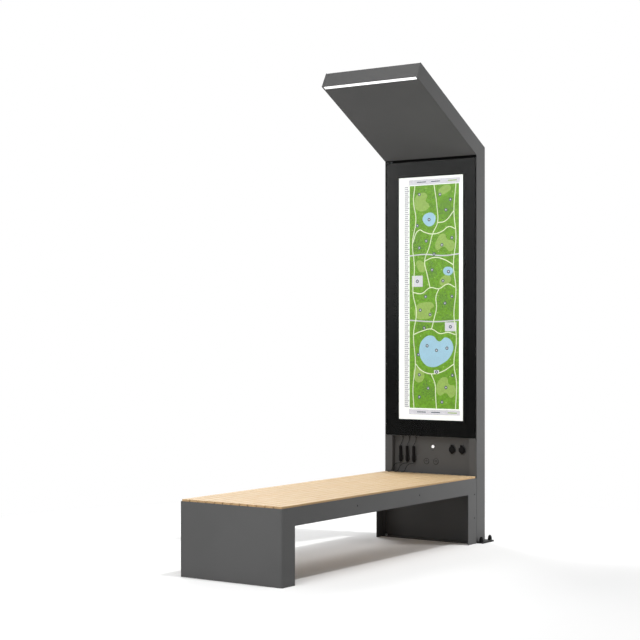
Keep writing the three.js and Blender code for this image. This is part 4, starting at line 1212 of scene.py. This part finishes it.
def soft_lamp(name, place, target, size, level, spread):
    """A flat lamp, wide and high; level is its share of full light on a face turned to it at the target."""
    deselect()
    bpy.ops.object.light_add(type="AREA", location=place, rotation=aim(place, target))
    lamp = bpy.context.object
    lamp.name = name
    lamp.data.shape = "RECTANGLE"
    lamp.data.size, lamp.data.size_y = size
    lamp.data.energy = level * math.pi ** 2 * (Vector(target) - Vector(place)).length_squared
    lamp.data.spread = math.radians(spread)
    lamp.visible_camera = False


# The camera at the photographed angle: place, turn about the vertical in degrees, and lens in millimetres
CAMERA_PLACE = (5.3263, -7.9941, 1.4052)
CAMERA_TURN = 34.68
CAMERA_LENS, CAMERA_SENSOR = 85.88, 36
CAMERA_SHIFT = 0.0218

# Greys of the floor where it gives light, is mirrored and is seen, and how far from the origin it turns white
FLOOR_SIZE = 60
FLOOR_BOUNCE = linear("eaeaea")
FLOOR_MIRRORED = linear("7c7c7c")
FLOOR_WHITE = linear("f6f6f6")
FADE_START = 1.7
FADE_END = 3.4

# Light all round, and the sun: the way to it, its level, and its width in degrees
AMBIENT = 0.25
KEY_WAY = (0.364, 0.07, 1.0)
KEY_LEVEL = 0.33
KEY_ANGLE = 1.5

# Soft lamps: place, target, width and height, level at the target, and spread in degrees
LAMPS = {
    "overhead": ((0.8, -2.6, 6.0), (0, -0.5, 0.45), (4.0, 4.0), 0.28, 180),
    "fascia": ((0.8, -2.5, 4.6), (0.1, 0.1, 3.0), (1.5, 1.5), 0.42, 180),
    "behind": ((-4.5, 3.5, 5.0), (0, -0.5, 0.45), (3.0, 3.0), 0.4, 180),
    "column": ((2.8, 2.3, 1.2), (0.36, 1.9, 1.2), (0.8, 2.0), 0.55, 112),
    "canopy": ((1.8, 3.5, 3.4), (0.36, 1.0, 2.6), (1.2, 1.2), 0.1, 180),
    "front": ((0.4, -3.8, 0.9), (0, -1.2, 0.4), (1.2, 1.2), 0.46, 180),
    "left": ((-4.5, -3.0, 2.5), (0, 0, 1.2), (2.5, 2.5), 0.1, 180),
}


def add_studio():
    """Camera at the photographed angle, pale floor, white surroundings and soft lamps."""
    deselect()
    upright = math.radians(90)
    bpy.ops.object.camera_add(location=CAMERA_PLACE, rotation=(upright, 0, math.radians(CAMERA_TURN)))
    camera = bpy.context.object
    camera.data.lens = CAMERA_LENS
    camera.data.sensor_width = CAMERA_SENSOR
    camera.data.shift_y = CAMERA_SHIFT
    bpy.context.scene.camera = camera
    for name, settings in LAMPS.items():
        soft_lamp(name, *settings)
    deselect()
    bpy.ops.object.light_add(type="SUN", rotation=Vector(KEY_WAY).to_track_quat("Z", "Y").to_euler())
    key = bpy.context.object
    key.name = "key"
    key.data.energy = KEY_LEVEL * math.pi
    key.data.angle = math.radians(KEY_ANGLE)
    deselect()
    bpy.ops.mesh.primitive_plane_add(size=FLOOR_SIZE, location=(0, 0, 0))
    floor = bpy.context.object
    floor.name = "floor"
    floor.data.materials.append(floor_paint())
    set_world()
    bpy.context.scene.view_settings.view_transform = "Standard"


def floor_paint():
    """Matt white studio floor that fades into the backdrop; grey where it gives light or is mirrored."""
    made, tree, place = blank("studio floor")
    path = add(tree, "ShaderNodeLightPath")
    direct = add(tree, "ShaderNodeMath", {
        0: path.outputs["Is Camera Ray"], 1: path.outputs["Is Transmission Ray"],
    }, operation="MAXIMUM")
    given = add(tree, "ShaderNodeMix", {
        "Factor": path.outputs["Is Glossy Ray"], "A": FLOOR_BOUNCE, "B": FLOOR_MIRRORED,
    }, data_type="RGBA")
    colour = add(tree, "ShaderNodeMix", {
        "Factor": direct, "A": given, "B": FLOOR_WHITE,
    }, data_type="RGBA")
    paint = add(tree, "ShaderNodeBsdfDiffuse", {"Color": colour})
    white = add(tree, "ShaderNodeEmission", {"Color": linear("ffffff"), "Strength": 1.0})
    far = add(tree, "ShaderNodeVectorMath", {0: place}, operation="LENGTH")
    fade = add(tree, "ShaderNodeMapRange", {
        "Value": far.outputs["Value"], "From Min": FADE_START, "From Max": FADE_END,
    })
    share = add(tree, "ShaderNodeMath", {0: fade, 1: direct}, operation="MULTIPLY")
    coated(tree, {0: share, 1: paint, 2: white}, kind="ShaderNodeMixShader")
    return made


def set_world():
    """White where it is seen, a soft grey as light, and darker near the horizon where gloss mirrors it."""
    world = bpy.data.worlds.new("studio")
    bpy.context.scene.world = world
    world.use_nodes = True
    tree = world.node_tree
    tree.nodes.clear()
    path = add(tree, "ShaderNodeLightPath")
    direct = add(tree, "ShaderNodeMath", {
        0: path.outputs["Is Camera Ray"], 1: path.outputs["Is Transmission Ray"],
    }, operation="MAXIMUM")
    ray = add(tree, "ShaderNodeSeparateXYZ", {"Vector": add(tree, "ShaderNodeTexCoord").outputs["Generated"]})
    # From just under the horizon to a little over it
    mirrored = add(tree, "ShaderNodeMapRange", {
        "Value": ray.outputs["Z"], "From Min": -0.03, "From Max": 0.12, "To Min": 0.05, "To Max": 1.0,
    })
    light = add(tree, "ShaderNodeBackground", {"Color": linear("ffffff"), "Strength": AMBIENT})
    gloss = add(tree, "ShaderNodeBackground", {"Color": linear("ffffff"), "Strength": mirrored})
    white = add(tree, "ShaderNodeBackground", {"Color": linear("ffffff"), "Strength": 1.0})
    near = add(tree, "ShaderNodeMixShader", {0: path.outputs["Is Glossy Ray"], 1: light, 2: gloss})
    final = add(tree, "ShaderNodeMixShader", {0: direct, 1: near, 2: white})
    add(tree, "ShaderNodeOutputWorld", {"Surface": final})


# Operators, panel and registration

class BENCH_OT_studio(bpy.types.Operator):
    """Adds the camera, the floor, the surroundings and the lamps."""

    bl_idname = "bench.studio"
    bl_label = "Studio"

    def execute(self, context):
        add_studio()
        return {"FINISHED"}


class BENCH_OT_leads(bpy.types.Operator):
    """Adds the three leads with their grips and connectors."""

    bl_idname = "bench.leads"
    bl_label = "Charging leads"

    def execute(self, context):
        add_leads()
        return {"FINISHED"}


class BENCH_OT_steelwork(bpy.types.Operator):
    """Finishes the coated sheets of the bench and the column."""

    bl_idname = "bench.steelwork"
    bl_label = "Steelwork"

    def execute(self, context):
        add_steelwork()
        return {"FINISHED"}


class BENCH_OT_deck(bpy.types.Operator):
    """Finishes the larch slats and their bearers."""

    bl_idname = "bench.deck"
    bl_label = "Deck"

    def execute(self, context):
        add_deck()
        return {"FINISHED"}


class BENCH_OT_inside(bpy.types.Operator):
    """Finishes the pieces shut in the column."""

    bl_idname = "bench.inside"
    bl_label = "Inside"

    def execute(self, context):
        add_inside()
        return {"FINISHED"}


class BENCH_OT_cover_screws(bpy.types.Operator):
    """Adds the screws of the rear cover."""

    bl_idname = "bench.cover_screws"
    bl_label = "Cover screws"

    def execute(self, context):
        add_cover_screws()
        return {"FINISHED"}


class BENCH_OT_door(bpy.types.Operator):
    """Finishes the glazed door and its sheet."""

    bl_idname = "bench.door"
    bl_label = "Door"

    def execute(self, context):
        add_door()
        return {"FINISHED"}


class BENCH_OT_map(bpy.types.Operator):
    """Prints a made-up map on the sheet."""

    bl_idname = "bench.map"
    bl_label = "Map"

    def execute(self, context):
        add_map()
        return {"FINISHED"}


class BENCH_OT_canopy(bpy.types.Operator):
    """Finishes the canopy's module and lit strip, with its cells."""

    bl_idname = "bench.canopy"
    bl_label = "Canopy"

    def execute(self, context):
        add_canopy()
        return {"FINISHED"}


class BENCH_OT_niche(bpy.types.Operator):
    """Finishes the charging niche and its fittings."""

    bl_idname = "bench.niche"
    bl_label = "Niche"

    def execute(self, context):
        add_niche()
        return {"FINISHED"}


STEPS = (
    BENCH_OT_studio,
    BENCH_OT_leads,
    BENCH_OT_steelwork,
    BENCH_OT_deck,
    BENCH_OT_inside,
    BENCH_OT_cover_screws,
    BENCH_OT_door,
    BENCH_OT_map,
    BENCH_OT_canopy,
    BENCH_OT_niche,
)


class BENCH_PT_bench(bpy.types.Panel):
    """Lists the bench's sizes, colours and pieces."""

    bl_idname = "BENCH_PT_bench"
    bl_label = "Solar charging bench"
    bl_space_type = "VIEW_3D"
    bl_region_type = "UI"
    bl_category = "Bench"

    def draw(self, context):
        for group in (sizes(), colours()):
            box = self.layout.box()
            for name in group.__annotations__:
                box.prop(group, name)
        for step in STEPS:
            self.layout.operator(step.bl_idname)


CLASSES = (BenchSizes, BenchColours, *STEPS, BENCH_PT_bench)


def register():
    for made in CLASSES:
        bpy.utils.register_class(made)
    bpy.types.Scene.bench_sizes = bpy.props.PointerProperty(type=BenchSizes)
    bpy.types.Scene.bench_colours = bpy.props.PointerProperty(type=BenchColours)


def unregister():
    del bpy.types.Scene.bench_colours
    del bpy.types.Scene.bench_sizes
    for made in reversed(CLASSES):
        bpy.utils.unregister_class(made)


def main():
    register()
    bpy.ops.bench.studio()
    bpy.ops.bench.leads()
    bpy.ops.bench.steelwork()
    bpy.ops.bench.deck()
    bpy.ops.bench.inside()
    bpy.ops.bench.cover_screws()
    bpy.ops.bench.door()
    bpy.ops.bench.map()
    bpy.ops.bench.canopy()
    bpy.ops.bench.niche()


if __name__ == "__main__":
    main()
